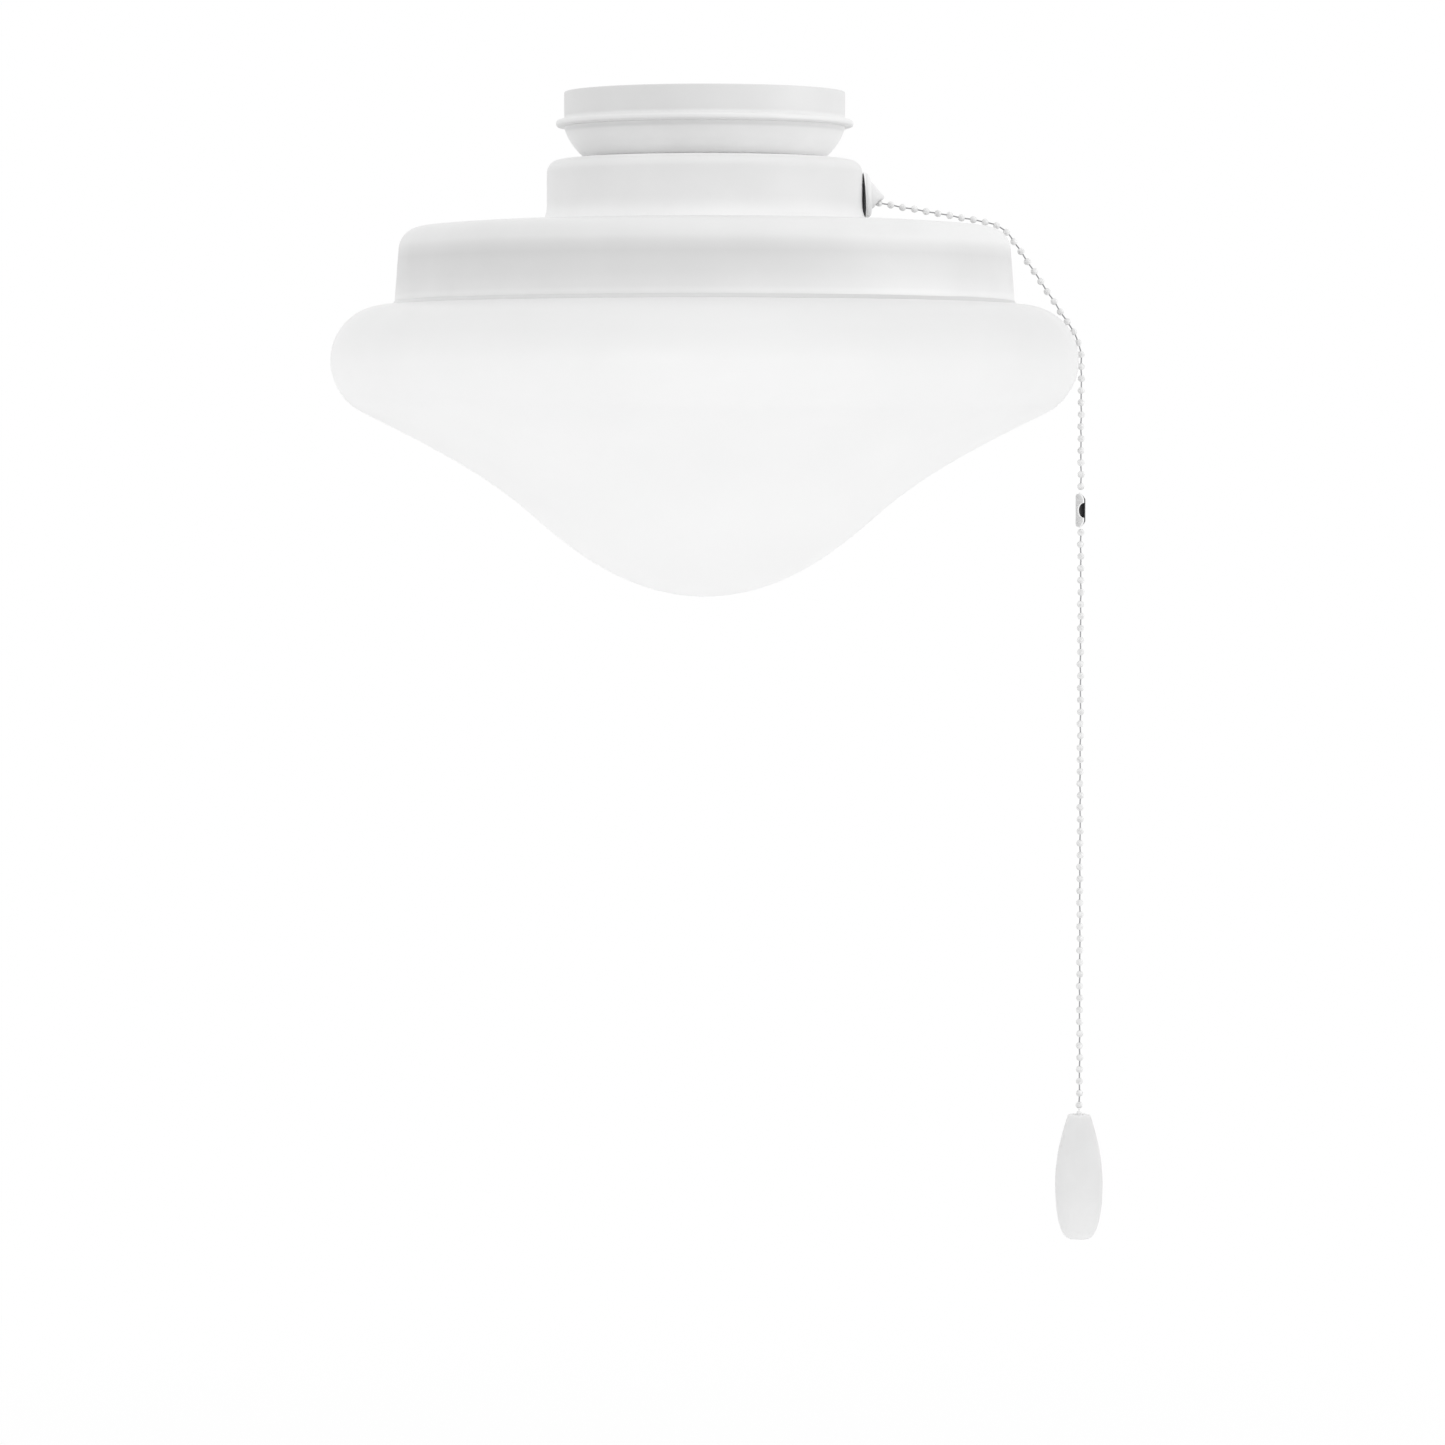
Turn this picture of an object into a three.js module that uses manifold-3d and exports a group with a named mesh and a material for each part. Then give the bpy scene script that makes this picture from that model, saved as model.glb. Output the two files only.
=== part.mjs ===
// Ceiling-fan light kit: a painted fitter cap, switch drum and glass pan clamped on one hollow
// nipple, two screw lamps, an opal glass bowl held by three lugs, and a pull switch whose bead
// chain runs over the pan and the glass and ends in a hanging fob.
// Lengths are millimetres and angles degrees. +Z is up and is the axis of every turned part,
// and z = 0 is the top face of the flange that meets the fan.
import * as THREE from 'three';
import { mergeVertices } from 'three/addons/utils/BufferGeometryUtils.js';
import Module from 'manifold-3d';

const wasm = await Module();
wasm.setup();

// Fits and facets
const fitGap = 0.3;
const cutOverrun = 2;
const coincidence = 0.0001;
const largeSides = 36;
const mediumSides = 16;
const smallSides = 16;
const holeSides = 8;
const arcSteps = 4;
const curveSteps = 5;

// Fitter cap: a cup whose collar slides up inside the fan's switch housing
const collarRadius = 56.1;
const collarHeight = 11.2;
const collarEdgeRound = 0.55;
const capWall = 1.2;
const flangeOverhang = 3.3;
const flangeThickness = 2.8;
const flangeEdgeRound = 1.2;
const capDepth = 15;
const capFloorInset = 8.9;
const capBowlRadius = 22.6;

// Hollow nipple with its nuts and washers, which clamps cap, drum, pan and bracket together
const nippleRadius = 5.1;
const nippleBoreRadius = 3.6;
const nippleStandOut = 3;
const locknutAcrossFlats = 15.9;
const locknutThickness = 3;
const lockWasherRadius = 9.6;
const lockWasherThickness = 0.9;
const spacerRadius = 10.5;
const spacerThickness = 1.2;

// Switch drum
const drumRadius = 63;
const drumHeight = 25.1;
const drumWall = 1;
const drumShoulderRadius = 5.2;
const drumFlareOut = 2.4;
const drumFlareHeight = 7.6;

// Pan that holds the glass
const panRimRadius = 123.9;
const panHeight = 32.3;
const panWall = 0.9;
const panDraft = 1.7;
const panShoulderRadius = 9.3;
const panSeatMargin = 2.6;
const panDomeDrop = 1.5;
const panDomeAngle = 6;

// Opal glass bowl
const glassWall = 3.5;
const glassOverhang = 25.5;
const glassRimArcRadius = 21.9;
const glassTurnArcRadius = 23.3;
const glassTurnAngle = 63.7;
const glassDepth = 116.2;
const glassWaistRadiusShare = 0.46;
const glassWaistDepthShare = 0.722;
const glassWaistAngle = 41.8;
const glassHandleShares = [0.336, 0.329, 0.317, 0.378];
const glassCurveSteps = 3;
const neckHeight = 14;

// Three lugs on the glass neck and the three clips that carry them
const clipCount = 3;
const clipFirstAngle = 90;
const lugReach = 2.5;
const lugThickness = 3.6;
const lugAngle = 16;
const lugTopDrop = 2.6;
const clipSheet = 1.2;
const clipShelfGap = 0.8;
const clipRise = 6.5;
const clipAngle = 20;
const clipStopAngle = 2;
const clipStopHeight = 2.4;

// Bracket, lampholders and lamps
const bracketLength = 108;
const bracketWidth = 36;
const bracketThickness = 1.5;
const lampSpacing = 72;
const holderRadius = 17;
const holderHeight = 37;
const holderBase = 5;
const shellWall = 0.5;
const shellMouthDrop = 3;
const shellEyeRadius = 6;
const screwCapRadius = 13.15;
const screwCapLength = 23;
const screwCapShoulder = 3;
const contactRadius = 4.8;
const contactHeight = 1.6;
const lampNeckRadius = 12.7;
const globeRadius = 24;
const lampLength = 89;
const lampCurveShare = 0.55;

// Pull switch, its bushing, the nut and the bell that guides the chain
const switchDrop = 29.6;
const switchAzimuth = 3;
const switchLength = 21;
const switchWidth = 24;
const switchHeight = 19;
const switchCornerRadius = 4;
const switchEdge = 1;
const bushingRadius = 5.1;
const bushingBoreRadius = 4.2;
const bushingBoreDepth = 9;
const bushingStandOut = 2.2;
const bushingNutRadius = 6.4;
const bushingNutThickness = 1.2;
const bellRingRadius = 9;
const bellRingThickness = 2.5;
const bellRingGap = 1;
const bellRingRound = 1.9;
const bellBackChamfer = 0.5;
const bellLean = 3;
const bellConeRadius = 5.7;
const bellConeLength = 5.4;
const bellTipRadius = 1.4;
const bellTipSag = 0.8;
const bellWall = 0.7;
const bellMouthDrop = 3.3;
const bellMouthInset = 1.7;

// Bead chain: steel beads on short wires, from the bell over the pan and the glass
const beadRadius = 1.45;
const beadPitch = 4.81;
const wireRadius = 0.45;
const beadSides = 5;
const beadRingShares = [-1, -0.5, 0.5, 1];
const beadRingRadiusShares = [0.31, 0.88, 0.88, 0.31];
const chainLinkGap = 0.5;
const chainBendRadius = 16;
const chainBendMiddleAngle = 57.5;
const firstBeadAdvance = 4.4;
const strokePitches = 2;
const hiddenBeadCount = 3;
const firstBendBeadCount = 4;
const edgeBendBeadCount = 5;
const dropBeadCount = 9;
const lowerBeadCount = 49;

// Clasp that joins the two lengths of chain
const claspLength = 13.2;
const claspRadius = 2.15;
const claspWall = 0.4;
const claspEndRadius = 1.2;
const claspTaper = 1.8;
const claspWindowLength = 5.1;
const claspWindowDepth = 2.6;
const claspTopGap = 1.5;
const claspFootGap = 0.8;

// Fob on the end of the chain
const fobRadius = 9.6;
const fobHeight = 50.3;
const fobTopRadius = 4.7;
const fobFootRadius = 4;
const fobWidestShare = 0.56;
const fobTopAngle = -72;
const fobFootAngle = 195;
const fobShoulderShare = 0.19;
const fobFlankShare = 0.22;
const fobFootShare = 0.08;
const fobTopRound = 0.7;
const fobDimpleRadius = 2.2;
const fobDimpleDepth = 1.4;
const ferruleRadius = 1.6;
const fobDrop = 2;

// Radii, levels and places that follow from the sizes above
const flangeRadius = collarRadius + flangeOverhang;
const capFloorRadius = collarRadius - capFloorInset;
const nippleHoleRadius = nippleRadius + fitGap;
const drumFootRadius = drumRadius + drumFlareOut;
const panSeatRadius = drumFootRadius + panSeatMargin;
const panWallTopRadius = panRimRadius - panDraft;
const lugRadius = panWallTopRadius - panWall - clipSheet - fitGap * 2;
const neckRadius = lugRadius - lugReach;
const clipShelfRadius = neckRadius + clipShelfGap;
const glassRadius = panRimRadius + glassOverhang;
const flangeUnderside = -flangeThickness;
const capUnderside = -capDepth;
const capFloor = capUnderside + capWall;
const drumTop = capUnderside - spacerThickness;
const drumFoot = drumTop - drumHeight;
const panTop = drumFoot;
const panUnderside = panTop - panWall;
const panRim = panTop - panHeight;
const glassTop = panRim - fitGap;
const glassWidest = glassTop - glassRimArcRadius;
const bracketUnderside = panUnderside - bracketThickness;
const holderMouth = bracketUnderside - holderHeight;

const rad = (angle) => THREE.MathUtils.degToRad(angle);
const point = (r, z) => new THREE.Vector2(r, z);
const heading = (angle) => point(Math.cos(rad(angle)), Math.sin(rad(angle)));

// Points along a circle, from one angle to another
function arc(centre, radius, from, to, steps = arcSteps) {
  const points = [];
  for (let i = 0; i <= steps; i += 1) {
    const angle = rad(from + ((to - from) * i) / steps);
    points.push(point(centre.x + radius * Math.cos(angle), centre.y + radius * Math.sin(angle)));
  }
  return points;
}

// Points along a cubic curve that leaves and arrives in given directions
function blend(start, startAngle, startReach, end, endAngle, endReach, steps) {
  const out = heading(startAngle).multiplyScalar(startReach);
  const into = heading(endAngle).multiplyScalar(endReach);
  const leave = start.clone().add(out);
  const arrive = end.clone().sub(into);
  return new THREE.CubicBezierCurve(start, leave, arrive, end).getPoints(steps);
}

// A closed outline moved sideways by a distance, to the left of its direction of travel
function offset(points, distance) {
  return points.map((at, i) => {
    const before = points[Math.max(i - 1, 0)];
    const after = points[Math.min(i + 1, points.length - 1)];
    const along = after.clone().sub(before).normalize();
    return point(at.x - along.y * distance, at.y + along.x * distance);
  });
}

function dropRepeats(points) {
  return points.filter((at, i) => at.distanceTo(points.at(i - 1)) > coincidence);
}

// Positions only, with shared vertices merged
function weld(geometry) {
  geometry.deleteAttribute('normal');
  geometry.deleteAttribute('uv');
  return mergeVertices(geometry);
}

// Turns an outline of radius and height round the Z axis; an outline that does not touch the
// axis closes on itself
function revolve(outline, sides) {
  outline.forEach((at) => at.setX(Math.abs(at.x) < coincidence ? 0 : at.x));
  const points = dropRepeats(outline);
  const onAxis = points.filter((at) => at.x === 0).length;
  let turn = 0;
  points.forEach((at, i) => {
    const next = points[(i + 1) % points.length];
    turn += at.x * next.y - next.x * at.y;
  });
  if (turn < 0) {
    points.reverse();
  }
  if (onAxis === 2) {
    const start = points.findIndex((at, i) => at.x === 0 && points.at(i - 1).x === 0);
    points.push(...points.splice(0, start));
  } else {
    points.push(points[0].clone());
  }
  const geometry = new THREE.LatheGeometry(points, sides);
  geometry.rotateX(Math.PI / 2);
  return weld(geometry);
}

function extrude(shape, height, curveSegments = arcSteps) {
  const options = { depth: height, bevelEnabled: false, curveSegments };
  return weld(new THREE.ExtrudeGeometry(shape, options));
}

function solid(geometry) {
  const mesh = new wasm.Mesh({
    numProp: 3,
    vertProperties: new Float32Array(geometry.attributes.position.array),
    triVerts: new Uint32Array(geometry.index.array),
  });
  return new wasm.Manifold(mesh);
}

function surface(manifold) {
  const mesh = manifold.getMesh();
  const geometry = new THREE.BufferGeometry();
  geometry.setAttribute('position', new THREE.BufferAttribute(mesh.vertProperties, 3));
  geometry.setIndex(new THREE.BufferAttribute(mesh.triVerts, 1));
  return geometry;
}

// Plain cylinder from one height to another
function rod(radius, bottom, top, sides) {
  return revolve([point(0, bottom), point(radius, bottom), point(radius, top), point(0, top)], sides);
}

// Ring with square edges
function ring(inner, outer, bottom, top, sides) {
  return revolve([point(inner, bottom), point(outer, bottom), point(outer, top), point(inner, top)], sides);
}

// Slice of pie round the Z axis, which cuts a ring to a stretch of its circumference
function wedge(from, to, radius, bottom, top) {
  const reach = radius / Math.cos(rad((to - from) / 2));
  const shape = new THREE.Shape([
    point(0, 0),
    point(reach * Math.cos(rad(from)), reach * Math.sin(rad(from))),
    point(reach * Math.cos(rad(to)), reach * Math.sin(rad(to))),
  ]);
  const geometry = extrude(shape, top - bottom);
  geometry.translate(0, 0, bottom);
  return geometry;
}

function hexagon(acrossFlats, boreRadius, thickness) {
  const shape = new THREE.Shape();
  const corner = acrossFlats / 2 / Math.cos(Math.PI / 6);
  for (let i = 0; i < 6; i += 1) {
    const angle = (Math.PI / 3) * i;
    shape[i === 0 ? 'moveTo' : 'lineTo'](corner * Math.cos(angle), corner * Math.sin(angle));
  }
  const hole = new THREE.Path();
  hole.absarc(0, 0, boreRadius, 0, Math.PI * 2);
  shape.holes.push(hole);
  return extrude(shape, thickness, holeSides);
}

// Materials
function finish(color, roughness, metalness) {
  return new THREE.MeshStandardMaterial({ color, roughness, metalness });
}
const whitePaint = finish(0xe9e9ea, 0.38, 0);
const capPaint = finish(0xdedfe0, 0.4, 0);
const opalGlass = finish(0xf7f8fb, 0.3, 0);
const zincSteel = finish(0xc4c6c8, 0.35, 1);
const brass = finish(0xd0ab5e, 0.3, 1);
const chromeSteel = finish(0xd4d6d8, 0.2, 1);
const porcelain = finish(0xf2f0ea, 0.35, 0);
const frostedGlass = finish(0xf6f5f0, 0.5, 0);
const switchPlastic = finish(0x2b2b2d, 0.5, 0);
const fobPaint = finish(0xf0f0f1, 0.3, 0);

const lightKit = new THREE.Group();
const chainPlane = new THREE.Group();
chainPlane.rotation.z = rad(switchAzimuth);
lightKit.add(chainPlane);

function add(name, geometry, material, group = lightKit) {
  const mesh = new THREE.Mesh(geometry, material);
  mesh.name = name;
  group.add(mesh);
  return mesh;
}

// Fitter cap: rounded collar edge, folded flange and a pressed bowl below it
function fitterCap() {
  const topRound = point(collarRadius - collarEdgeRound, collarHeight - collarEdgeRound);
  const innerRound = point(collarRadius - capWall + collarEdgeRound, collarHeight - collarEdgeRound);
  const edgeTop = point(flangeRadius - flangeEdgeRound, -flangeEdgeRound);
  const edgeBottom = point(flangeRadius - flangeEdgeRound, flangeUnderside + flangeEdgeRound);
  const start = point(collarRadius, flangeUnderside);
  const end = point(capFloorRadius, capUnderside);
  const centre = arcCentre(start, end, capBowlRadius);
  const angleOf = (at) => THREE.MathUtils.radToDeg(Math.atan2(at.y - centre.y, at.x - centre.x));
  const innerRadius = capBowlRadius - capWall;
  const innerFloor = -THREE.MathUtils.radToDeg(Math.asin((centre.y - capFloor) / innerRadius));
  const innerReach = collarRadius - capWall - centre.x;
  const innerCollar = -THREE.MathUtils.radToDeg(Math.acos(innerReach / innerRadius));
  return revolve([
    ...arc(innerRound, collarEdgeRound, 180, 90, 2),
    ...arc(topRound, collarEdgeRound, 90, 0, 2),
    point(collarRadius, 0),
    ...arc(edgeTop, flangeEdgeRound, 90, 0, 2),
    ...arc(edgeBottom, flangeEdgeRound, 0, -90, 2),
    ...arc(centre, capBowlRadius, angleOf(start), angleOf(end)),
    point(nippleHoleRadius, capUnderside),
    point(nippleHoleRadius, capFloor),
    ...arc(centre, innerRadius, innerFloor, innerCollar, 3),
  ], largeSides);
}

// Centre of the circle of a radius through two points, on the side towards the axis
function arcCentre(start, end, radius) {
  const middle = start.clone().add(end).multiplyScalar(0.5);
  const half = start.distanceTo(end) / 2;
  const along = end.clone().sub(start).normalize();
  const rise = Math.sqrt(radius * radius - half * half);
  return point(middle.x + along.y * rise, middle.y - along.x * rise);
}

// Drum: rounded shoulder, straight wall and a foot that flares on to the pan
function switchHousing() {
  const shoulder = point(drumRadius - drumShoulderRadius, drumTop - drumShoulderRadius);
  const flareRadius = (drumFlareHeight ** 2 + drumFlareOut ** 2) / (2 * drumFlareOut);
  const flareAngle = THREE.MathUtils.radToDeg(Math.asin(drumFlareHeight / flareRadius));
  const flareCentre = point(drumRadius + flareRadius, drumFoot + drumFlareHeight);
  const foot = point(drumFootRadius, drumFoot);
  const shell = revolve([
    point(nippleHoleRadius, drumTop),
    ...arc(shoulder, drumShoulderRadius, 90, 0),
    ...arc(flareCentre, flareRadius, 180, 180 + flareAngle, 3),
    foot,
    point(foot.x - drumWall / Math.cos(rad(flareAngle)), drumFoot),
    ...arc(flareCentre, flareRadius + drumWall, 180 + flareAngle, 180, 2),
    ...arc(shoulder, drumShoulderRadius - drumWall, 0, 90, 3),
    point(nippleHoleRadius, drumTop - drumWall),
  ], largeSides);
  const holeStart = drumRadius - drumWall - cutOverrun;
  const hole = rod(bushingRadius + fitGap, holeStart, drumRadius + cutOverrun, smallSides);
  hole.rotateY(Math.PI / 2);
  hole.translate(0, 0, -switchDrop);
  hole.rotateZ(rad(switchAzimuth));
  return surface(solid(shell).subtract(solid(hole)));
}

// Pan: flat seat for the drum, slightly domed top, round shoulder and a drafted wall
function holderPan() {
  const centre = panShoulderCentre();
  const wallTop = point(centre.x + panShoulderRadius, centre.y);
  const outer = [
    point(nippleHoleRadius, panTop),
    point(panSeatRadius, panTop),
    ...arc(centre, panShoulderRadius, 90 - panDomeAngle, 0, curveSteps),
    point(panRimRadius, panRim),
  ];
  const inner = [
    point(panRimRadius - panWall, panRim),
    point(wallTop.x - panWall, wallTop.y),
    ...arc(centre, panShoulderRadius - panWall, 0, 90 - panDomeAngle).slice(1),
    point(panSeatRadius, panUnderside),
    point(nippleHoleRadius, panUnderside),
  ];
  return revolve([...outer, ...inner], largeSides);
}

function panShoulderCentre() {
  const domeEdge = panTop - panDomeDrop;
  const rise = panShoulderRadius * Math.cos(rad(panDomeAngle));
  return point(panWallTopRadius - panShoulderRadius, domeEdge - rise);
}

// Outside of the glass from under the pan to the lowest point
function glassOutline() {
  const rimCentre = point(glassRadius - glassRimArcRadius, glassWidest);
  const turnCentre = point(glassRadius - glassTurnArcRadius, glassWidest);
  const turn = arc(turnCentre, glassTurnArcRadius, 0, -glassTurnAngle);
  const turnEnd = turn[turn.length - 1];
  const waist = point(glassRadius * glassWaistRadiusShare, glassTop - glassDepth * glassWaistDepthShare);
  const bottom = point(0, glassTop - glassDepth);
  const upper = turnEnd.distanceTo(waist);
  const lower = waist.distanceTo(bottom);
  const [leave, reach, depart, arrive] = glassHandleShares;
  const turnAim = -90 - glassTurnAngle;
  const waistAim = 180 + glassWaistAngle;
  const flank = blend(turnEnd, turnAim, leave * upper, waist, waistAim, reach * upper, glassCurveSteps);
  const base = blend(waist, waistAim, depart * lower, bottom, 180, arrive * lower, glassCurveSteps);
  return dropRepeats([
    ...arc(rimCentre, glassRimArcRadius, 90, 0),
    ...turn.slice(1),
    ...flank.slice(1),
    ...base.slice(1),
  ]);
}

// Bowl: even wall, short neck that enters the pan, and three lugs round the neck
function glassBowl() {
  const outside = glassOutline();
  const inside = offset(outside, -glassWall).reverse();
  inside[0].x = 0;
  inside[inside.length - 1].y = glassTop - glassWall;
  const bowl = solid(revolve([
    ...outside,
    ...inside,
    point(neckRadius - glassWall, glassTop - glassWall),
    point(neckRadius - glassWall, glassTop + neckHeight),
    point(neckRadius, glassTop + neckHeight),
    point(neckRadius, glassTop),
  ], largeSides));
  const lugTop = glassTop + neckHeight - lugTopDrop;
  const lugFoot = lugTop - lugThickness;
  const lugRing = solid(ring(neckRadius - glassWall / 2, lugRadius, lugFoot, lugTop, largeSides));
  let glass = bowl;
  for (const angle of clipAngles()) {
    const slice = wedge(angle - lugAngle / 2, angle + lugAngle / 2, lugRadius, lugFoot, lugTop);
    glass = glass.add(lugRing.intersect(solid(slice)));
  }
  return surface(glass);
}

function clipAngles() {
  return Array.from({ length: clipCount }, (_, i) => clipFirstAngle + (360 / clipCount) * i);
}

// Clip: leg against the pan wall, shelf under the lug and a stop at the shelf's end
function glassClip(angle) {
  const shelfTop = glassTop + neckHeight - lugTopDrop - lugThickness - fitGap;
  const shelfBottom = shelfTop - clipSheet;
  const legTop = shelfTop + clipRise;
  const wallTop = panShoulderCentre().y;
  const draft = panDraft / (wallTop - panRim);
  const wallAt = (z) => panWallTopRadius - panWall - fitGap + draft * (wallTop - z);
  const stopTop = shelfTop + clipStopHeight;
  const outline = (top, shelf) => [
    point(clipShelfRadius, shelfBottom),
    point(wallAt(shelfBottom), shelfBottom),
    point(wallAt(top), top),
    point(wallAt(top) - clipSheet, top),
    point(wallAt(shelf) - clipSheet, shelf),
    point(clipShelfRadius, shelf),
  ];
  const stopEdge = angle - lugAngle / 2 - THREE.MathUtils.radToDeg(fitGap / lugRadius);
  const clipEnd = stopEdge - clipStopAngle;
  const shelfSlice = wedge(clipEnd, clipEnd + clipAngle, panRimRadius, shelfBottom, legTop);
  const stopSlice = wedge(clipEnd, stopEdge, panRimRadius, shelfBottom, legTop);
  const shelf = solid(revolve(outline(legTop, shelfTop), largeSides)).intersect(solid(shelfSlice));
  const stop = solid(revolve(outline(legTop, stopTop), largeSides)).intersect(solid(stopSlice));
  return surface(shelf.add(stop));
}

// Bracket: strap with round ends and a hole for the nipple
function lampBracket() {
  const shape = new THREE.Shape();
  const straight = bracketLength / 2 - bracketWidth / 2;
  shape.absarc(straight, 0, bracketWidth / 2, -Math.PI / 2, Math.PI / 2);
  shape.absarc(-straight, 0, bracketWidth / 2, Math.PI / 2, Math.PI * 1.5);
  const hole = new THREE.Path();
  hole.absarc(0, 0, nippleHoleRadius, 0, Math.PI * 2);
  shape.holes.push(hole);
  const geometry = extrude(shape, bracketThickness, holeSides);
  geometry.translate(0, 0, bracketUnderside);
  return geometry;
}

// One lampholder with its screw shell, and the lamp in it
function addLamp(number, x) {
  const shellRadius = screwCapRadius + fitGap + shellWall;
  const seat = bracketUnderside - holderBase;
  const shellTop = seat - fitGap;
  const contactTop = shellTop - shellWall - fitGap;
  const capTop = contactTop - contactHeight - fitGap;
  const capBottom = capTop - screwCapLength;
  const crown = contactTop - lampLength;
  const globeStart = capBottom - fitGap;
  const globeCentre = point(0, crown + globeRadius);
  const reach = (globeStart - globeCentre.y) * lampCurveShare;
  const holder = revolve([
    point(0, bracketUnderside),
    point(holderRadius, bracketUnderside),
    point(holderRadius, holderMouth),
    point(shellRadius + fitGap, holderMouth),
    point(shellRadius + fitGap, seat),
    point(0, seat),
  ], mediumSides);
  const shell = revolve([
    point(shellEyeRadius, shellTop),
    point(shellRadius, shellTop),
    point(shellRadius, holderMouth + shellMouthDrop),
    point(shellRadius - shellWall, holderMouth + shellMouthDrop),
    point(shellRadius - shellWall, shellTop - shellWall),
    point(shellEyeRadius, shellTop - shellWall),
  ], mediumSides);
  const contact = rod(contactRadius, contactTop - contactHeight, contactTop, smallSides);
  const screwCap = revolve([
    point(0, capTop),
    point(contactRadius, capTop),
    point(screwCapRadius, capTop - screwCapShoulder),
    point(screwCapRadius, capBottom),
    point(0, capBottom),
  ], mediumSides);
  const neck = point(lampNeckRadius, globeStart);
  const widest = point(globeRadius, globeCentre.y);
  const globe = revolve([
    point(0, globeStart),
    ...blend(neck, -90, reach, widest, -90, reach, curveSteps),
    ...arc(globeCentre, globeRadius, 0, -90).slice(1, -1),
    point(0, crown),
  ], mediumSides);
  const place = new THREE.Group();
  place.position.x = x;
  lightKit.add(place);
  add(`lampholder_${number}`, holder, porcelain, place);
  add(`lampholder_${number}_shell`, shell, brass, place);
  add(`lamp_${number}_contact`, contact, brass, place);
  add(`lamp_${number}_screw_cap`, screwCap, zincSteel, place);
  add(`lamp_${number}_globe`, globe, frostedGlass, place);
}

// Turned parts of the switch lie along +X: outlines give radius and distance along the axis
function turnedAlongX(outline, sides) {
  const geometry = revolve(outline, sides);
  geometry.rotateY(Math.PI / 2);
  geometry.translate(0, 0, -switchDrop);
  return geometry;
}

// Pull switch: rounded case against the inside of the drum, with its bored bushing
function pullSwitch() {
  const face = drumRadius - drumWall - fitGap;
  const back = face - switchLength;
  const bushingEnd = drumRadius + bushingStandOut;
  const shape = new THREE.Shape();
  const halfWidth = switchWidth / 2 - switchCornerRadius;
  const halfHeight = switchHeight / 2 - switchCornerRadius;
  shape.absarc(halfHeight, halfWidth, switchCornerRadius, 0, Math.PI / 2);
  shape.absarc(-halfHeight, halfWidth, switchCornerRadius, Math.PI / 2, Math.PI);
  shape.absarc(-halfHeight, -halfWidth, switchCornerRadius, Math.PI, Math.PI * 1.5);
  shape.absarc(halfHeight, -halfWidth, switchCornerRadius, Math.PI * 1.5, Math.PI * 2);
  const setBack = drumRadius - Math.sqrt(drumRadius ** 2 - (switchWidth / 2) ** 2);
  const caseBody = extrude(shape, switchLength - setBack - switchEdge);
  caseBody.rotateY(Math.PI / 2);
  caseBody.translate(back, 0, -switchDrop);
  const bushing = turnedAlongX([
    point(0, back + switchEdge),
    point(bushingRadius, back + switchEdge),
    point(bushingRadius, bushingEnd),
    point(0, bushingEnd),
  ], smallSides);
  const bore = turnedAlongX([
    point(0, bushingEnd - bushingBoreDepth),
    point(bushingBoreRadius, bushingEnd - bushingBoreDepth),
    point(bushingBoreRadius, bushingEnd + cutOverrun),
    point(0, bushingEnd + cutOverrun),
  ], smallSides);
  return surface(solid(caseBody).add(solid(bushing)).subtract(solid(bore)));
}

function bushingNut() {
  const start = drumRadius + fitGap;
  return turnedAlongX([
    point(bushingRadius + fitGap, start),
    point(bushingNutRadius, start),
    point(bushingNutRadius, start + bushingNutThickness),
    point(bushingRadius + fitGap, start + bushingNutThickness),
  ], smallSides);
}

// Bell: hollow ring that leans out at its foot, then a cone with a round tip that hangs a
// little low; the chain leaves through a mouth cut in the underside of the tip
function chainBell(mouth, mouthSlope) {
  const back = drumRadius + bellRingGap;
  const front = back + bellRingThickness;
  const lean = Math.tan(rad(bellLean));
  const cavityRadius = bushingNutRadius + fitGap;
  const nutFront = drumRadius + fitGap + bushingNutThickness;
  const cavityEnd = nutFront + fitGap + cavityRadius * lean;
  const tip = front + bellConeLength;
  const tipCentre = point(0, tip - bellTipRadius);
  const coneRun = bellConeLength - bellTipRadius;
  const slope = THREE.MathUtils.radToDeg(Math.atan2(bellConeRadius - bellTipRadius, coneRun));
  const ringRound = point(bellRingRadius - bellRingRound, front - bellRingRound);
  const bell = turnedAlongX([
    point(cavityRadius, back),
    point(bellRingRadius - bellBackChamfer, back),
    point(bellRingRadius, back + bellBackChamfer),
    ...arc(ringRound, bellRingRound, 0, 90, 3),
    point(bellConeRadius, front),
    ...arc(tipCentre, bellTipRadius, slope, 90, 3),
    point(0, tip - bellWall),
    point(bellTipRadius - bellWall, tip - bellTipRadius),
    point(bushingRadius + fitGap, front - bellWall / 2),
    point(bushingRadius + fitGap, cavityEnd),
    point(cavityRadius, cavityEnd),
  ], mediumSides);
  const places = bell.attributes.position;
  for (let i = 0; i < places.count; i += 1) {
    const x = places.getX(i);
    const z = places.getZ(i);
    const reach = Math.max(x - front, 0) / bellConeLength;
    places.setX(i, x - (z + switchDrop) * lean);
    places.setZ(i, z - reach * bellTipSag);
  }
  const drillRadius = beadRadius + chainLinkGap;
  const drill = rod(drillRadius, -bellConeLength, bellConeLength, holeSides);
  drill.rotateY(Math.PI / 2 + mouthSlope);
  drill.translate(mouth.x, 0, mouth.y);
  return surface(solid(bell).subtract(solid(drill)));
}

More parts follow.
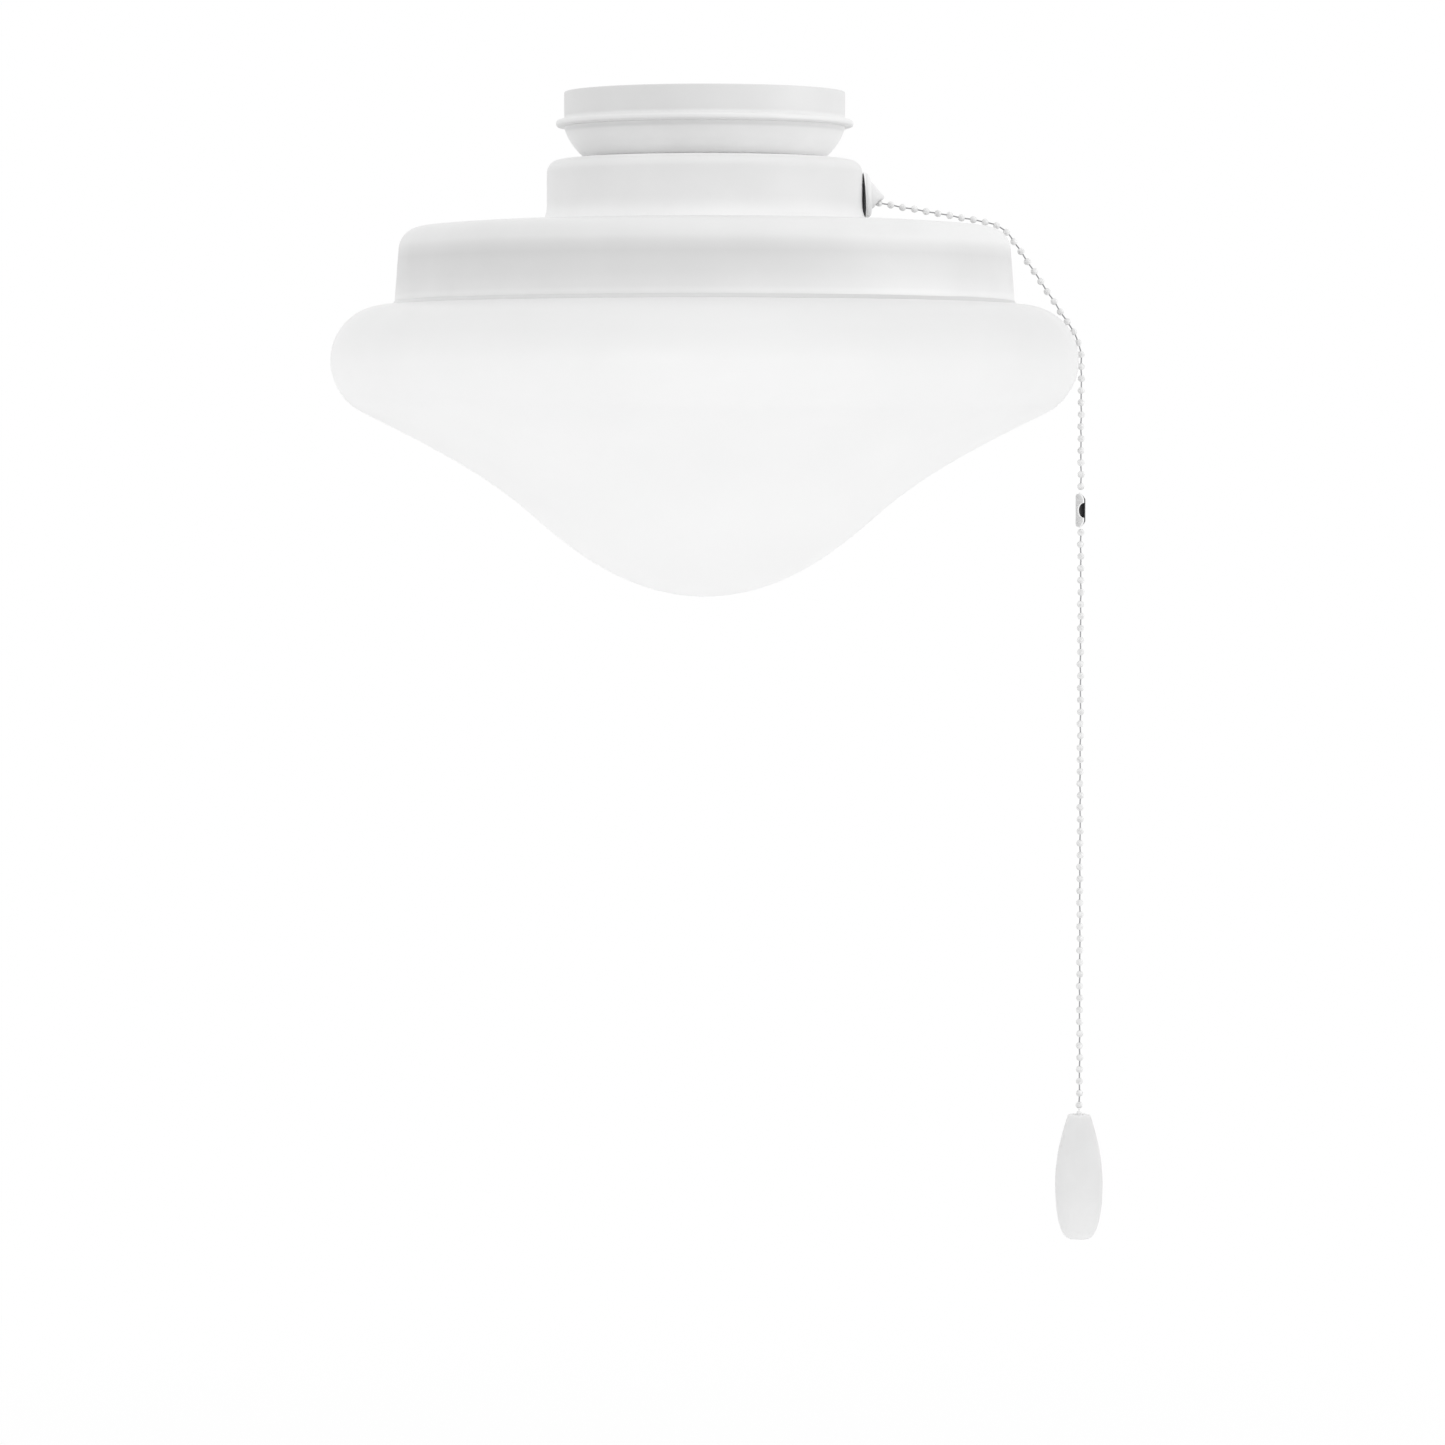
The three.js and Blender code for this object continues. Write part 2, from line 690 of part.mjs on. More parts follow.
// Route of the bead centres, in the upright plane through the axis and the switch: a straight
// reach from the bell, a bend over the pan's shoulder, a straight reach to the glass, a bend
// round its edge, and the vertical drop
function chainRoute() {
  const bellTip = drumRadius + bellRingGap + bellRingThickness + bellConeLength;
  const mouth = point(bellTip - bellMouthInset, -switchDrop - bellMouthDrop);
  const room = beadRadius + fitGap;
  const contact = panShoulderRadius + room;
  const inward = heading(chainBendMiddleAngle).multiplyScalar(contact - chainBendRadius);
  const upper = { centre: panShoulderCentre().add(inward), radius: chainBendRadius };
  const rimCentre = point(glassRadius - glassRimArcRadius, glassWidest);
  const edge = { centre: rimCentre, radius: glassRimArcRadius + room };
  const toUpper = upper.centre.clone().sub(mouth);
  const first = toUpper.angle() + Math.asin(upper.radius / toUpper.length());
  const toEdge = edge.centre.clone().sub(upper.centre);
  const second = toEdge.angle() + Math.asin((edge.radius - upper.radius) / toEdge.length());
  const down = Math.PI * 1.5;
  const rim = (circle, aim) => point(
    circle.centre.x + circle.radius * Math.cos(aim + Math.PI / 2),
    circle.centre.y + circle.radius * Math.sin(aim + Math.PI / 2),
  );
  const aimOf = (angle) => (angle > Math.PI ? angle - Math.PI * 2 : angle);
  const a = aimOf(first);
  const c = aimOf(second);
  const e = aimOf(down);
  const bendStart = rim(upper, a);
  const slopeStart = rim(upper, c);
  const slopeEnd = rim(edge, c);
  const dropStart = rim(edge, e);
  const stretches = [
    { length: mouth.distanceTo(bendStart), start: mouth, aim: a },
    { length: (a - c) * upper.radius, circle: upper, aim: a },
    { length: slopeStart.distanceTo(slopeEnd), start: slopeStart, aim: c },
    { length: (c - e) * edge.radius, circle: edge, aim: c },
    { length: Infinity, start: dropStart, aim: e },
  ];
  const at = (s) => {
    let index = 0;
    let rest = s;
    while (rest > stretches[index].length) {
      rest -= stretches[index].length;
      index += 1;
    }
    const stretch = stretches[index];
    if (stretch.circle) {
      const aim = stretch.aim - rest / stretch.circle.radius;
      return { place: rim(stretch.circle, aim), aim };
    }
    const ahead = point(Math.cos(stretch.aim), Math.sin(stretch.aim)).multiplyScalar(rest);
    return { place: stretch.start.clone().add(ahead), aim: stretch.aim };
  };
  const slopeEnds = stretches[0].length + stretches[1].length + stretches[2].length;
  return { at, mouth, slope: -a, upperEnds: stretches[0].length, slopeEnds };
}

const route = chainRoute();
const beadPlace = (k) => firstBeadAdvance + k * beadPitch;

// Number of beads, from a given one on, that a full pull leaves on a reach with a given end
function beadsInReach(first, end) {
  const room = end - strokePitches * beadPitch - beadPlace(first);
  return 1 + Math.floor(room / beadPitch);
}

// A run of beads and wires as one tube whose radius swells at each bead. Ring places are
// distances along a route
function beadTube(pathAt, rings) {
  const positions = [];
  const indices = [];
  for (const { s, radius } of rings) {
    const { place, aim } = pathAt(s);
    for (let j = 0; j < beadSides; j += 1) {
      const angle = (Math.PI * 2 * j) / beadSides;
      const side = radius * Math.cos(angle);
      positions.push(
        place.x - side * Math.sin(aim),
        radius * Math.sin(angle),
        place.y + side * Math.cos(aim),
      );
    }
  }
  const last = (rings.length - 1) * beadSides;
  for (let i = 0; i < rings.length - 1; i += 1) {
    for (let j = 0; j < beadSides; j += 1) {
      const a = i * beadSides + j;
      const b = i * beadSides + ((j + 1) % beadSides);
      indices.push(a, a + beadSides, b, b, a + beadSides, b + beadSides);
    }
  }
  for (let j = 1; j < beadSides - 1; j += 1) {
    indices.push(0, j, j + 1);
    indices.push(last, last + j + 1, last + j);
  }
  const geometry = new THREE.BufferGeometry();
  geometry.setAttribute('position', new THREE.Float32BufferAttribute(positions, 3));
  geometry.setIndex(indices);
  return geometry;
}

// Rings of the beads at given places, and of a wire that reaches on past the last bead
function beadRings(places, reach) {
  const rings = [];
  for (const centre of places) {
    beadRingShares.forEach((share, i) => {
      rings.push({ s: centre + share * beadRadius, radius: beadRingRadiusShares[i] * beadRadius });
    });
  }
  const last = places[places.length - 1];
  if (reach > beadRadius) {
    rings.push({ s: last + reach, radius: wireRadius });
  }
  return rings;
}

const linkReach = beadPitch - beadRadius - chainLinkGap;

// Beads are grouped by how they move when the chain is pulled: those that stay on one straight
// reach share a piece, and each bead that goes round a bend is a piece of its own
function chainGroups() {
  const bend = (first, count) => Array.from({ length: count }, (_, i) => [`chain_bead_${first + i}`, 1]);
  const upperBeads = beadsInReach(-hiddenBeadCount, route.upperEnds);
  const firstOnSlope = upperBeads - hiddenBeadCount + firstBendBeadCount;
  return [
    ['chain_run_upper', upperBeads],
    ...bend(1, firstBendBeadCount),
    ['chain_run_slope', beadsInReach(firstOnSlope, route.slopeEnds)],
    ...bend(1 + firstBendBeadCount, edgeBendBeadCount),
    ['chain_edge_bead', 1],
    ['chain_pivot_bead', 1],
    ['chain_drop_upper', dropBeadCount],
  ];
}

function addChain() {
  let k = -hiddenBeadCount;
  let place = 0;
  for (const [name, count] of chainGroups()) {
    const places = Array.from({ length: count }, (_, i) => beadPlace(k + i));
    const atClasp = name === 'chain_drop_upper';
    const reach = atClasp ? beadRadius + claspTopGap - fitGap : linkReach;
    add(name, beadTube(route.at, beadRings(places, reach)), chromeSteel, chainPlane);
    k += count;
    place = places[count - 1];
  }
  const claspStart = place + beadRadius + claspTopGap;
  add('chain_clasp', chainClasp(route.at(claspStart).place), zincSteel, chainPlane);
  const lowerStart = claspStart + claspLength + claspFootGap + beadRadius;
  const lowerBeads = Array.from({ length: lowerBeadCount }, (_, i) => lowerStart + i * beadPitch);
  add('chain_drop_lower', beadTube(route.at, beadRings(lowerBeads, beadRadius)), chromeSteel, chainPlane);
  const lastLower = lowerBeads[lowerBeadCount - 1];
  const ferruleTop = route.at(lastLower + beadRadius + fitGap).place;
  add('fob_ferrule', ferrule(ferruleTop), brass, chainPlane);
  add('fob', fob(point(ferruleTop.x, ferruleTop.y - fobDrop)), fobPaint, chainPlane);
}

// Clasp: a rolled sheet sleeve with tapered ends and a window in its outer side
function chainClasp(top) {
  const sleeve = solid(revolve([
    point(claspEndRadius - claspWall, 0),
    point(claspEndRadius, 0),
    point(claspRadius, -claspTaper),
    point(claspRadius, claspTaper - claspLength),
    point(claspEndRadius, -claspLength),
    point(claspEndRadius - claspWall, -claspLength),
    point(claspRadius - claspWall, claspTaper - claspLength),
    point(claspRadius - claspWall, -claspTaper),
  ], holeSides));
  const window = new THREE.Shape();
  window.absellipse(0, 0, claspWindowDepth, claspWindowLength / 2, 0, Math.PI * 2);
  const cutLength = claspRadius * 2 + cutOverrun;
  const cutter = extrude(window, cutLength);
  cutter.rotateX(Math.PI / 2);
  cutter.translate(claspRadius, cutLength / 2, -claspLength / 2);
  const geometry = surface(sleeve.subtract(solid(cutter)));
  geometry.translate(top.x, 0, top.y);
  return geometry;
}

// Ferrule: crimped stub that sits in the fob's dimple
function ferrule(top) {
  const geometry = rod(ferruleRadius, fitGap - fobDrop - fobDimpleDepth, 0, holeSides);
  geometry.translate(top.x, 0, top.y);
  return geometry;
}

// Fob: turned drop, widest a little below the middle, with a dimple for the chain end
function fob(top) {
  const foot = -fobHeight;
  const widest = foot * fobWidestShare;
  const shoulder = point(fobTopRadius, -fobTopRound);
  const belly = point(fobRadius, widest);
  const bottom = point(fobFootRadius, foot);
  const shoulderReach = fobHeight * fobShoulderShare;
  const flankReach = fobHeight * fobFlankShare;
  const footReach = fobHeight * fobFootShare;
  const geometry = revolve([
    point(0, -fobDimpleDepth),
    point(fobDimpleRadius, -fobDimpleDepth),
    point(fobDimpleRadius, 0),
    point(fobTopRadius - fobTopRound, 0),
    ...blend(shoulder, fobTopAngle, shoulderReach, belly, -90, shoulderReach, curveSteps),
    ...blend(belly, -90, flankReach, bottom, fobFootAngle, footReach, curveSteps).slice(1),
    point(0, foot),
  ], mediumSides);
  geometry.translate(top.x, 0, top.y);
  return geometry;
}

add('fitter_cap', fitterCap(), capPaint);
const washerTop = capFloor + lockWasherThickness;
const nippleTop = washerTop + locknutThickness + nippleStandOut;
const nutFoot = bracketUnderside - locknutThickness;
const nippleFoot = nutFoot - nippleStandOut;
const locknut = () => hexagon(locknutAcrossFlats, nippleHoleRadius, locknutThickness);
add('threaded_nipple', ring(nippleBoreRadius, nippleRadius, nippleFoot, nippleTop, smallSides), zincSteel);
add('lock_washer', ring(nippleHoleRadius, lockWasherRadius, capFloor, washerTop, smallSides), zincSteel);
add('locknut_top', locknut(), brass).position.z = washerTop;
add('spacer_washer', ring(nippleHoleRadius, spacerRadius, drumTop, capUnderside, smallSides), zincSteel);
add('switch_housing', switchHousing(), whitePaint);
add('holder_pan', holderPan(), whitePaint);
add('lampholder_bracket', lampBracket(), zincSteel);
add('locknut_bottom', locknut(), brass).position.z = nutFoot;
addLamp(1, -lampSpacing / 2);
addLamp(2, lampSpacing / 2);
clipAngles().forEach((angle, i) => add(`glass_clip_${i + 1}`, glassClip(angle), zincSteel));
add('glass_bowl', glassBowl(), opalGlass);
add('pull_switch', pullSwitch(), switchPlastic, chainPlane);
add('bushing_nut', bushingNut(), zincSteel, chainPlane);
add('chain_bell', chainBell(route.mouth, route.slope), chromeSteel, chainPlane);
addChain();

export default lightKit;
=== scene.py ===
import math
import bpy
import numpy as np
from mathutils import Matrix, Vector


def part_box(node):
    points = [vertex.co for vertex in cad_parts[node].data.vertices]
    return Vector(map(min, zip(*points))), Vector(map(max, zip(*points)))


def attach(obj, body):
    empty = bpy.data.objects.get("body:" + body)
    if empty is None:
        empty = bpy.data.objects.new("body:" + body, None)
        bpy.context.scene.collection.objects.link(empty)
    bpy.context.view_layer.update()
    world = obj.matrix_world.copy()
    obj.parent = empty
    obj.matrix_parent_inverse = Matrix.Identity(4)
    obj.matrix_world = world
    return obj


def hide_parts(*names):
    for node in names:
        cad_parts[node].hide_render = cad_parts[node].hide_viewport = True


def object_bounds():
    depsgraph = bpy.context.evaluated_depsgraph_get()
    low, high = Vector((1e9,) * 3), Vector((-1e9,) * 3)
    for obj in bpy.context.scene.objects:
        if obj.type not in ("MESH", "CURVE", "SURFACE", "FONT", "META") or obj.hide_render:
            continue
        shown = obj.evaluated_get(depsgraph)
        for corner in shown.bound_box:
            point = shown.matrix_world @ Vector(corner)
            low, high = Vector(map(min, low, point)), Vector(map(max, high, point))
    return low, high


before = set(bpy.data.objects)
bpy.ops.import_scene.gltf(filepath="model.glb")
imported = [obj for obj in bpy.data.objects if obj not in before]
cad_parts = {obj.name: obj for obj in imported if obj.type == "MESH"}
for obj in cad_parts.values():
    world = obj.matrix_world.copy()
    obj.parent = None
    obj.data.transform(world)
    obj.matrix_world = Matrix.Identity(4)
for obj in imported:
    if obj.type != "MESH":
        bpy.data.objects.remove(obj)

cadLow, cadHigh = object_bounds()
tau = 2 * math.pi
fitGap = 0.0003      # room between parts that slip past each other
roundTurns = 160     # columns round a large turned part
middleTurns = 96     # columns round a lamp, the bell or the fob
smallTurns = 64      # columns round a small part
nearAxis = 0.0002    # radius at which an outline gives way to a pole
nippleHole = 0.0054  # radius of a hole that the nipple goes through
drumRadius = 0.063
drumWall = 0.001
lampReach = 0.036    # from the axis to each lamp


# Sizes that the frame gives

def topOf(node):
    # the highest Z of the node's box
    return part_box(node)[1].z


def footOf(node):
    # the lowest Z of the node's box
    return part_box(node)[0].z


def radiusOf(node):
    # how far the node's box reaches along X
    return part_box(node)[1].x


collarTop = topOf("fitter_cap")
capUnderside = footOf("fitter_cap")
drumTop = topOf("switch_housing")
panTop = topOf("holder_pan")
panRim = footOf("holder_pan")
panRimRadius = radiusOf("holder_pan")
glassFoot = footOf("glass_bowl")
glassNeckTop = topOf("glass_bowl")
glassRadius = radiusOf("glass_bowl")
chainAzimuth = math.radians(3)
outward = np.array([math.cos(chainAzimuth), math.sin(chainAzimuth), 0.0])
sideways = np.array([-math.sin(chainAzimuth), math.cos(chainAzimuth), 0.0])
upward = np.array([0.0, 0.0, 1.0])
print("frame read: object", [round(v, 4) for v in (cadHigh - cadLow)])


# Outlines, as arrays of radius and height

def arcOutline(centre, radius, fromAngle, toAngle, steps=12):
    # centre plus radius times the cosine and sine of evenly spaced angles, in degrees
    angles = np.radians(np.linspace(fromAngle, toAngle, steps + 1))
    return np.stack([centre[0] + radius * np.cos(angles), centre[1] + radius * np.sin(angles)], 1)


def roundedOutline(corners, closed=True, steps=6):
    # each corner (radius, height, rounding) becomes the arc that touches both its sides;
    # an open outline keeps its first and last corner as they are
    places = np.array([corner[:2] for corner in corners], float)
    roundings = [corner[2] if len(corner) > 2 else 0 for corner in corners]
    count = len(places)
    stretches = []
    for i, rounding in enumerate(roundings):
        here = places[i]
        atEnd = not closed and i in (0, count - 1)
        if rounding == 0 or atEnd:
            stretches.append(here[None])
            continue
        back = places[i - 1] - here
        ahead = places[(i + 1) % count] - here
        back = back / np.linalg.norm(back)
        ahead = ahead / np.linalg.norm(ahead)
        halfAngle = math.acos(np.clip(back @ ahead, -1, 1)) / 2
        middle = (back + ahead) / np.linalg.norm(back + ahead)
        centre = here + middle * rounding / math.sin(halfAngle)
        start = here + back * rounding / math.tan(halfAngle) - centre
        end = here + ahead * rounding / math.tan(halfAngle) - centre
        turn = math.atan2(start[0] * end[1] - start[1] * end[0], start @ end)
        angles = math.atan2(start[1], start[0]) + np.linspace(0, turn, steps + 1)
        stretches.append(centre + rounding * np.stack([np.cos(angles), np.sin(angles)], 1))
    return np.concatenate(stretches)


def towards(degrees):
    # the cosine and sine of the angle
    return np.array([math.cos(math.radians(degrees)), math.sin(math.radians(degrees))])


def curveOutline(start, startAngle, startReach, end, endAngle, endReach, steps=24):
    # cubic curve from start to end: the four points weighted by the Bernstein terms of t
    t = np.linspace(0, 1, steps + 1)[:, None]
    start, end = np.array(start, float), np.array(end, float)
    leave = start + startReach * towards(startAngle)
    arrive = end - endReach * towards(endAngle)
    return (1 - t) ** 3 * start + 3 * (1 - t) ** 2 * t * leave + 3 * (1 - t) * t ** 2 * arrive + t ** 3 * end


def movedAside(outline, distance):
    # every point moved along the left-hand normal of the outline's direction there
    along = np.gradient(outline, axis=0)
    along /= np.linalg.norm(along, axis=1)[:, None]
    return outline + distance * np.stack([-along[:, 1], along[:, 0]], 1)


# Surfaces

def gridQuads(index):
    # each quad joins two neighbours in a row to the two next to them in the following row
    corners = [index[:-1, :-1], index[:-1, 1:], index[1:, 1:], index[1:, :-1]]
    return np.stack(corners, -1).reshape(-1, 4).tolist()


def gridPiece(name, points, body, material, node=None, loop=False, capped=False, sharp=40):
    # points is rows by columns by three; neighbours become quads, and the last column joins the
    # first; loop joins the last row to the first, and capped fans both end rows to their middles
    rows, columns = points.shape[:2]
    vertices = points.reshape(-1, 3)
    index = np.arange(rows * columns).reshape(rows, columns)
    if loop:
        index = np.vstack([index, index[:1]])
    index = np.hstack([index, index[:, :1]])
    faces = gridQuads(index)
    if capped:
        for edge, back in ((index[0], True), (index[-1], False)):
            vertices = np.vstack([vertices, vertices[edge[:columns]].mean(0)])
            middle = np.full(columns, len(vertices) - 1)
            fan = [edge[1:], edge[:-1], middle] if back else [edge[:-1], edge[1:], middle]
            faces += np.stack(fan, 1).tolist()
    return finishPiece(name, vertices, faces, body, material, node, sharp)


def sheetPiece(name, points, body, material, node=None):
    # each row runs along one face of a sheet and back along the other; both end rows are closed
    rows, columns = points.shape[:2]
    index = np.arange(rows * columns).reshape(rows, columns)
    faces = gridQuads(np.hstack([index, index[:, :1]]))
    half = columns // 2
    for row, turn in ((index[0], -1), (index[-1], 1)):
        near, far = row[:half], row[half:][::-1]
        faces += np.stack([near[:-1], near[1:], far[1:], far[:-1]], -1)[:, ::turn].tolist()
    return finishPiece(name, points.reshape(-1, 3), faces, body, material, node, 40)


def finishPiece(name, vertices, faces, body, material, node, sharp):
    # faces are turned outwards if the volume under them is negative
    mesh = bpy.data.meshes.new(name)
    mesh.from_pydata(vertices.tolist(), [], faces)
    mesh.calc_loop_triangles()
    corners = np.empty(len(mesh.vertices) * 3)
    mesh.vertices.foreach_get("co", corners)
    corners = corners.reshape(-1, 3)
    triangles = np.empty(len(mesh.loop_triangles) * 3, int)
    mesh.loop_triangles.foreach_get("vertices", triangles)
    a, b, c = (corners - corners.mean(0))[triangles.reshape(-1, 3)].transpose(1, 0, 2)
    if np.einsum("ij,ij->i", a, np.cross(b, c)).sum() < 0:
        mesh.flip_normals()
    mesh.shade_smooth()
    mesh.set_sharp_from_angle(angle=math.radians(sharp))
    mesh.materials.append(material)
    piece = bpy.data.objects.new(name, mesh)
    bpy.context.scene.collection.objects.link(piece)
    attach(piece, body)
    if node:
        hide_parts(node)
    return piece


def anglesRound(turns):
    # a full turn in even steps, without its end
    return np.arange(turns) * tau / turns


def carried(radius, angles, height):
    # radius times the cosine and sine of the angle, at the height
    return np.stack([radius * np.cos(angles), radius * np.sin(angles), height + 0 * angles], -1)


def turned(outline, turns=roundTurns):
    # the outline carried round the Z axis
    return carried(outline[:, :1], anglesRound(turns), outline[:, 1:])


def tubeAlong(places, directions, radii, sides):
    # a circle of each radius stands square to the direction at each place, in the chain's plane
    angles = anglesRound(sides)
    normals = np.cross(sideways, directions)
    ring = np.cos(angles)[None, :, None] * normals[:, None] + np.sin(angles)[None, :, None] * sideways
    return places[:, None] + radii[:, None, None] * ring


def writeLayer(piece, name, values):
    # a number at each vertex, for the material to read
    layer = piece.data.attributes.new(name, "FLOAT", "POINT")
    layer.data.foreach_set("value", values)


# Materials

def fromScreen(*levels):
    # a colour read off a screen, 0 to 255, as the shader's linear light
    values = np.array(levels) / 255
    return (*np.where(values <= 0.04045, values / 12.92, ((values + 0.055) / 1.055) ** 2.4), 1)


def grey(level):
    # the same level in all three colours
    return fromScreen(level, level, level)


def startMaterial(name, colour, roughness, metallic=0.0):
    # the standard shader with its colour, roughness and share of metal set
    material = bpy.data.materials.new(name)
    material.use_nodes = True
    nodes = material.node_tree.nodes
    shader = nodes["Principled BSDF"]
    shader.inputs["Base Color"].default_value = colour
    shader.inputs["Roughness"].default_value = roughness
    shader.inputs["Metallic"].default_value = metallic
    return material, nodes, material.node_tree.links, shader


def addNoise(nodes, links, scale, detail=3.0, stretch=(1, 1, 1)):
    # a noise over the object's own coordinates, each times its stretch
    where = nodes.new("ShaderNodeTexCoord")
    mapping = nodes.new("ShaderNodeMapping")
    mapping.inputs["Scale"].default_value = stretch
    noise = nodes.new("ShaderNodeTexNoise")
    noise.inputs["Scale"].default_value = scale
    noise.inputs["Detail"].default_value = detail
    links.new(where.outputs["Object"], mapping.inputs["Vector"])
    links.new(mapping.outputs["Vector"], noise.inputs["Vector"])
    return noise.outputs["Fac"]


def addSpread(nodes, links, factor, low, high, target):
    # carries a factor into a socket as a number between low and high
    spread = nodes.new("ShaderNodeMapRange")
    spread.inputs["From Min"].default_value = 0.3
    spread.inputs["From Max"].default_value = 0.7
    spread.inputs["To Min"].default_value = low
    spread.inputs["To Max"].default_value = high
    links.new(factor, spread.inputs["Value"])
    links.new(spread.outputs["Result"], target)


def addRamp(nodes, links, factor, first, second, spread=(0.3, 0.7)):
    # the middle of a noise's range as a blend from the first colour to the second
    ramp = nodes.new("ShaderNodeValToRGB")
    for mark, position, colour in zip(ramp.color_ramp.elements, spread, (first, second)):
        mark.position = position
        mark.color = colour
    links.new(factor, ramp.inputs["Fac"])
    return ramp.outputs["Color"]


def addMix(nodes, links, factor, first, second, blend="MIX"):
    # the factor and both colours may be plain values or other nodes' outputs
    mix = nodes.new("ShaderNodeMix")
    mix.data_type = "RGBA"
    mix.blend_type = blend
    for socket, value in (("Factor", factor), ("A", first), ("B", second)):
        if isinstance(value, bpy.types.NodeSocket):
            links.new(value, mix.inputs[socket])
        else:
            mix.inputs[socket].default_value = value
    return mix.outputs["Result"]


def addLayer(nodes, name):
    # the number that the mesh holds at each vertex under this name
    layer = nodes.new("ShaderNodeAttribute")
    layer.attribute_name = name
    return layer.outputs["Fac"]


def addTint(nodes, links, factor, first, second, shader):
    # the surface's colour is a blend by the factor
    links.new(addRamp(nodes, links, factor, first, second), shader.inputs["Base Color"])


def addBump(nodes, links, factor, depth, shader):
    # the factor lifts the surface in its shading alone, by the depth at 1
    bump = nodes.new("ShaderNodeBump")
    bump.inputs["Strength"].default_value = 1.0
    bump.inputs["Distance"].default_value = depth
    links.new(factor, bump.inputs["Height"])
    links.new(bump.outputs["Normal"], shader.inputs["Normal"])


def addPaintedShadeByHeight(nodes, links, paintedShadeLevels, mottle, shader, axis="Z"):
    # grey levels given at heights, which paint in light and shade by height, and the mottle takes up to 4 off
    # them
    where = nodes.new("ShaderNodeTexCoord")
    split = nodes.new("ShaderNodeSeparateXYZ")
    spread = nodes.new("ShaderNodeMapRange")
    heights = [height for height, _ in paintedShadeLevels]
    low, high = min(heights), max(heights)
    spread.inputs["From Min"].default_value = low
    spread.inputs["From Max"].default_value = high
    ramp = nodes.new("ShaderNodeValToRGB")
    marks = ramp.color_ramp.elements
    while len(marks) < len(paintedShadeLevels):
        marks.new(0.5)
    for mark, (height, level) in zip(marks, sorted(paintedShadeLevels)):
        mark.position = (height - low) / (high - low)
        mark.color = grey(level)
    links.new(where.outputs["Object"], split.inputs[0])
    links.new(split.outputs[axis], spread.inputs["Value"])
    links.new(spread.outputs["Result"], ramp.inputs["Fac"])
    shade = addRamp(nodes, links, mottle, grey(251), grey(255))
    tint = addMix(nodes, links, 1.0, ramp.outputs["Color"], shade, "MULTIPLY")
    links.new(tint, shader.inputs["Base Color"])


def addHaze(nodes, links, noise, roughness, below, above, shader):
    # the roughness wanders with the noise from a little below its value to a little above
    addSpread(nodes, links, noise, roughness - below, roughness + above, shader.inputs["Roughness"])


def addScatter(shader, weight, depth):
    # light spreads this far under the surface, alike in all colours
    shader.inputs["Subsurface Weight"].default_value = weight
    shader.inputs["Subsurface Radius"].default_value = (1.0, 1.0, 1.0)
    shader.inputs["Subsurface Scale"].default_value = depth


def bakedPaint(name, paintedShadeLevels, gloss=0.4, axis="Z"):
    # sprayed and baked white, mottled, with orange peel in the bump; its grey levels by height are
    # painted light and shade, set by comparing the picture's greys with the photograph's
    material, nodes, links, shader = startMaterial(name, grey(paintedShadeLevels[0][1]), gloss)
    shader.inputs["Coat Weight"].default_value = 0.2
    shader.inputs["Coat Roughness"].default_value = 0.3
    addPaintedShadeByHeight(nodes, links, paintedShadeLevels, addNoise(nodes, links, 38, 4), shader, axis)
    addHaze(nodes, links, addNoise(nodes, links, 90, 2), gloss, 0.04, 0.06, shader)
    addBump(nodes, links, addNoise(nodes, links, 650, 2), 0.000012, shader)
    return material


def opalGlass(paintedShadeLevels):
    # white glass cased and etched to a satin: light spreads under the surface, hardly any gloss;
    # its levels by height are painted shade, greyer towards the rim, set against the photograph, as the
    # paints' were
    look = {"haze": 0.32, "weight": 0.35, "depth": 0.004}
    material, nodes, links, shader = startMaterial("opal glass with painted shade", fromScreen(247, 247, 248), look["haze"])
    addScatter(shader, look["weight"], look["depth"])
    shader.inputs["IOR"].default_value = 1.5
    shader.inputs["Specular IOR Level"].default_value = 0.35
    addPaintedShadeByHeight(nodes, links, paintedShadeLevels, addNoise(nodes, links, 16, 3), shader)
    addHaze(nodes, links, addNoise(nodes, links, 60, 3), look["haze"], 0.04, 0.05, shader)
    addBump(nodes, links, addNoise(nodes, links, 14, 2), 0.00012, shader)
    return material


def plainMetal(name, levels, roughness, grain=420, stretch=(1, 1, 1)):
    # plated or drawn metal: the grain changes the roughness and the tint together
    bright = fromScreen(*levels)
    dull = fromScreen(*[level * 0.86 for level in levels])
    material, nodes, links, shader = startMaterial(name, bright, roughness, 1.0)
    grainNoise = addNoise(nodes, links, grain, 5, stretch)
    addTint(nodes, links, grainNoise, dull, bright, shader)
    addSpread(nodes, links, grainNoise, roughness * 0.8, roughness * 1.35, shader.inputs["Roughness"])
    addBump(nodes, links, grainNoise, 0.00001, shader)
    return material


def mouldedPlastic(name, levels, roughness):
    # bright and slightly duller patches under a fine grain
    bright = fromScreen(*levels)
    dull = fromScreen(*[level * 0.96 for level in levels])
    material, nodes, links, shader = startMaterial(name, bright, roughness)
    addTint(nodes, links, addNoise(nodes, links, 60, 3), dull, bright, shader)
    addHaze(nodes, links, addNoise(nodes, links, 200, 2), roughness, 0.05, 0.08, shader)
    addBump(nodes, links, addNoise(nodes, links, 900, 2), 0.00002, shader)
    return material


def milkyPlastic(name, paintedShadeLevels):
    # solid white plastic: light spreads a few millimetres inside it, so its sides shade softly; its grey
    # levels by height are painted shade, darker towards the top
    look = {"haze": 0.42, "weight": 0.45, "depth": 0.004}
    material, nodes, links, shader = startMaterial(name, grey(paintedShadeLevels[0][1]), look["haze"])
    addScatter(shader, look["weight"], look["depth"])
    shader.inputs["Specular IOR Level"].default_value = 0.4
    addPaintedShadeByHeight(nodes, links, paintedShadeLevels, addNoise(nodes, links, 70, 3), shader)
    addHaze(nodes, links, addNoise(nodes, links, 120, 2), look["haze"], 0.05, 0.06, shader)
    addBump(nodes, links, addNoise(nodes, links, 300, 2), 0.00002, shader)
    return material


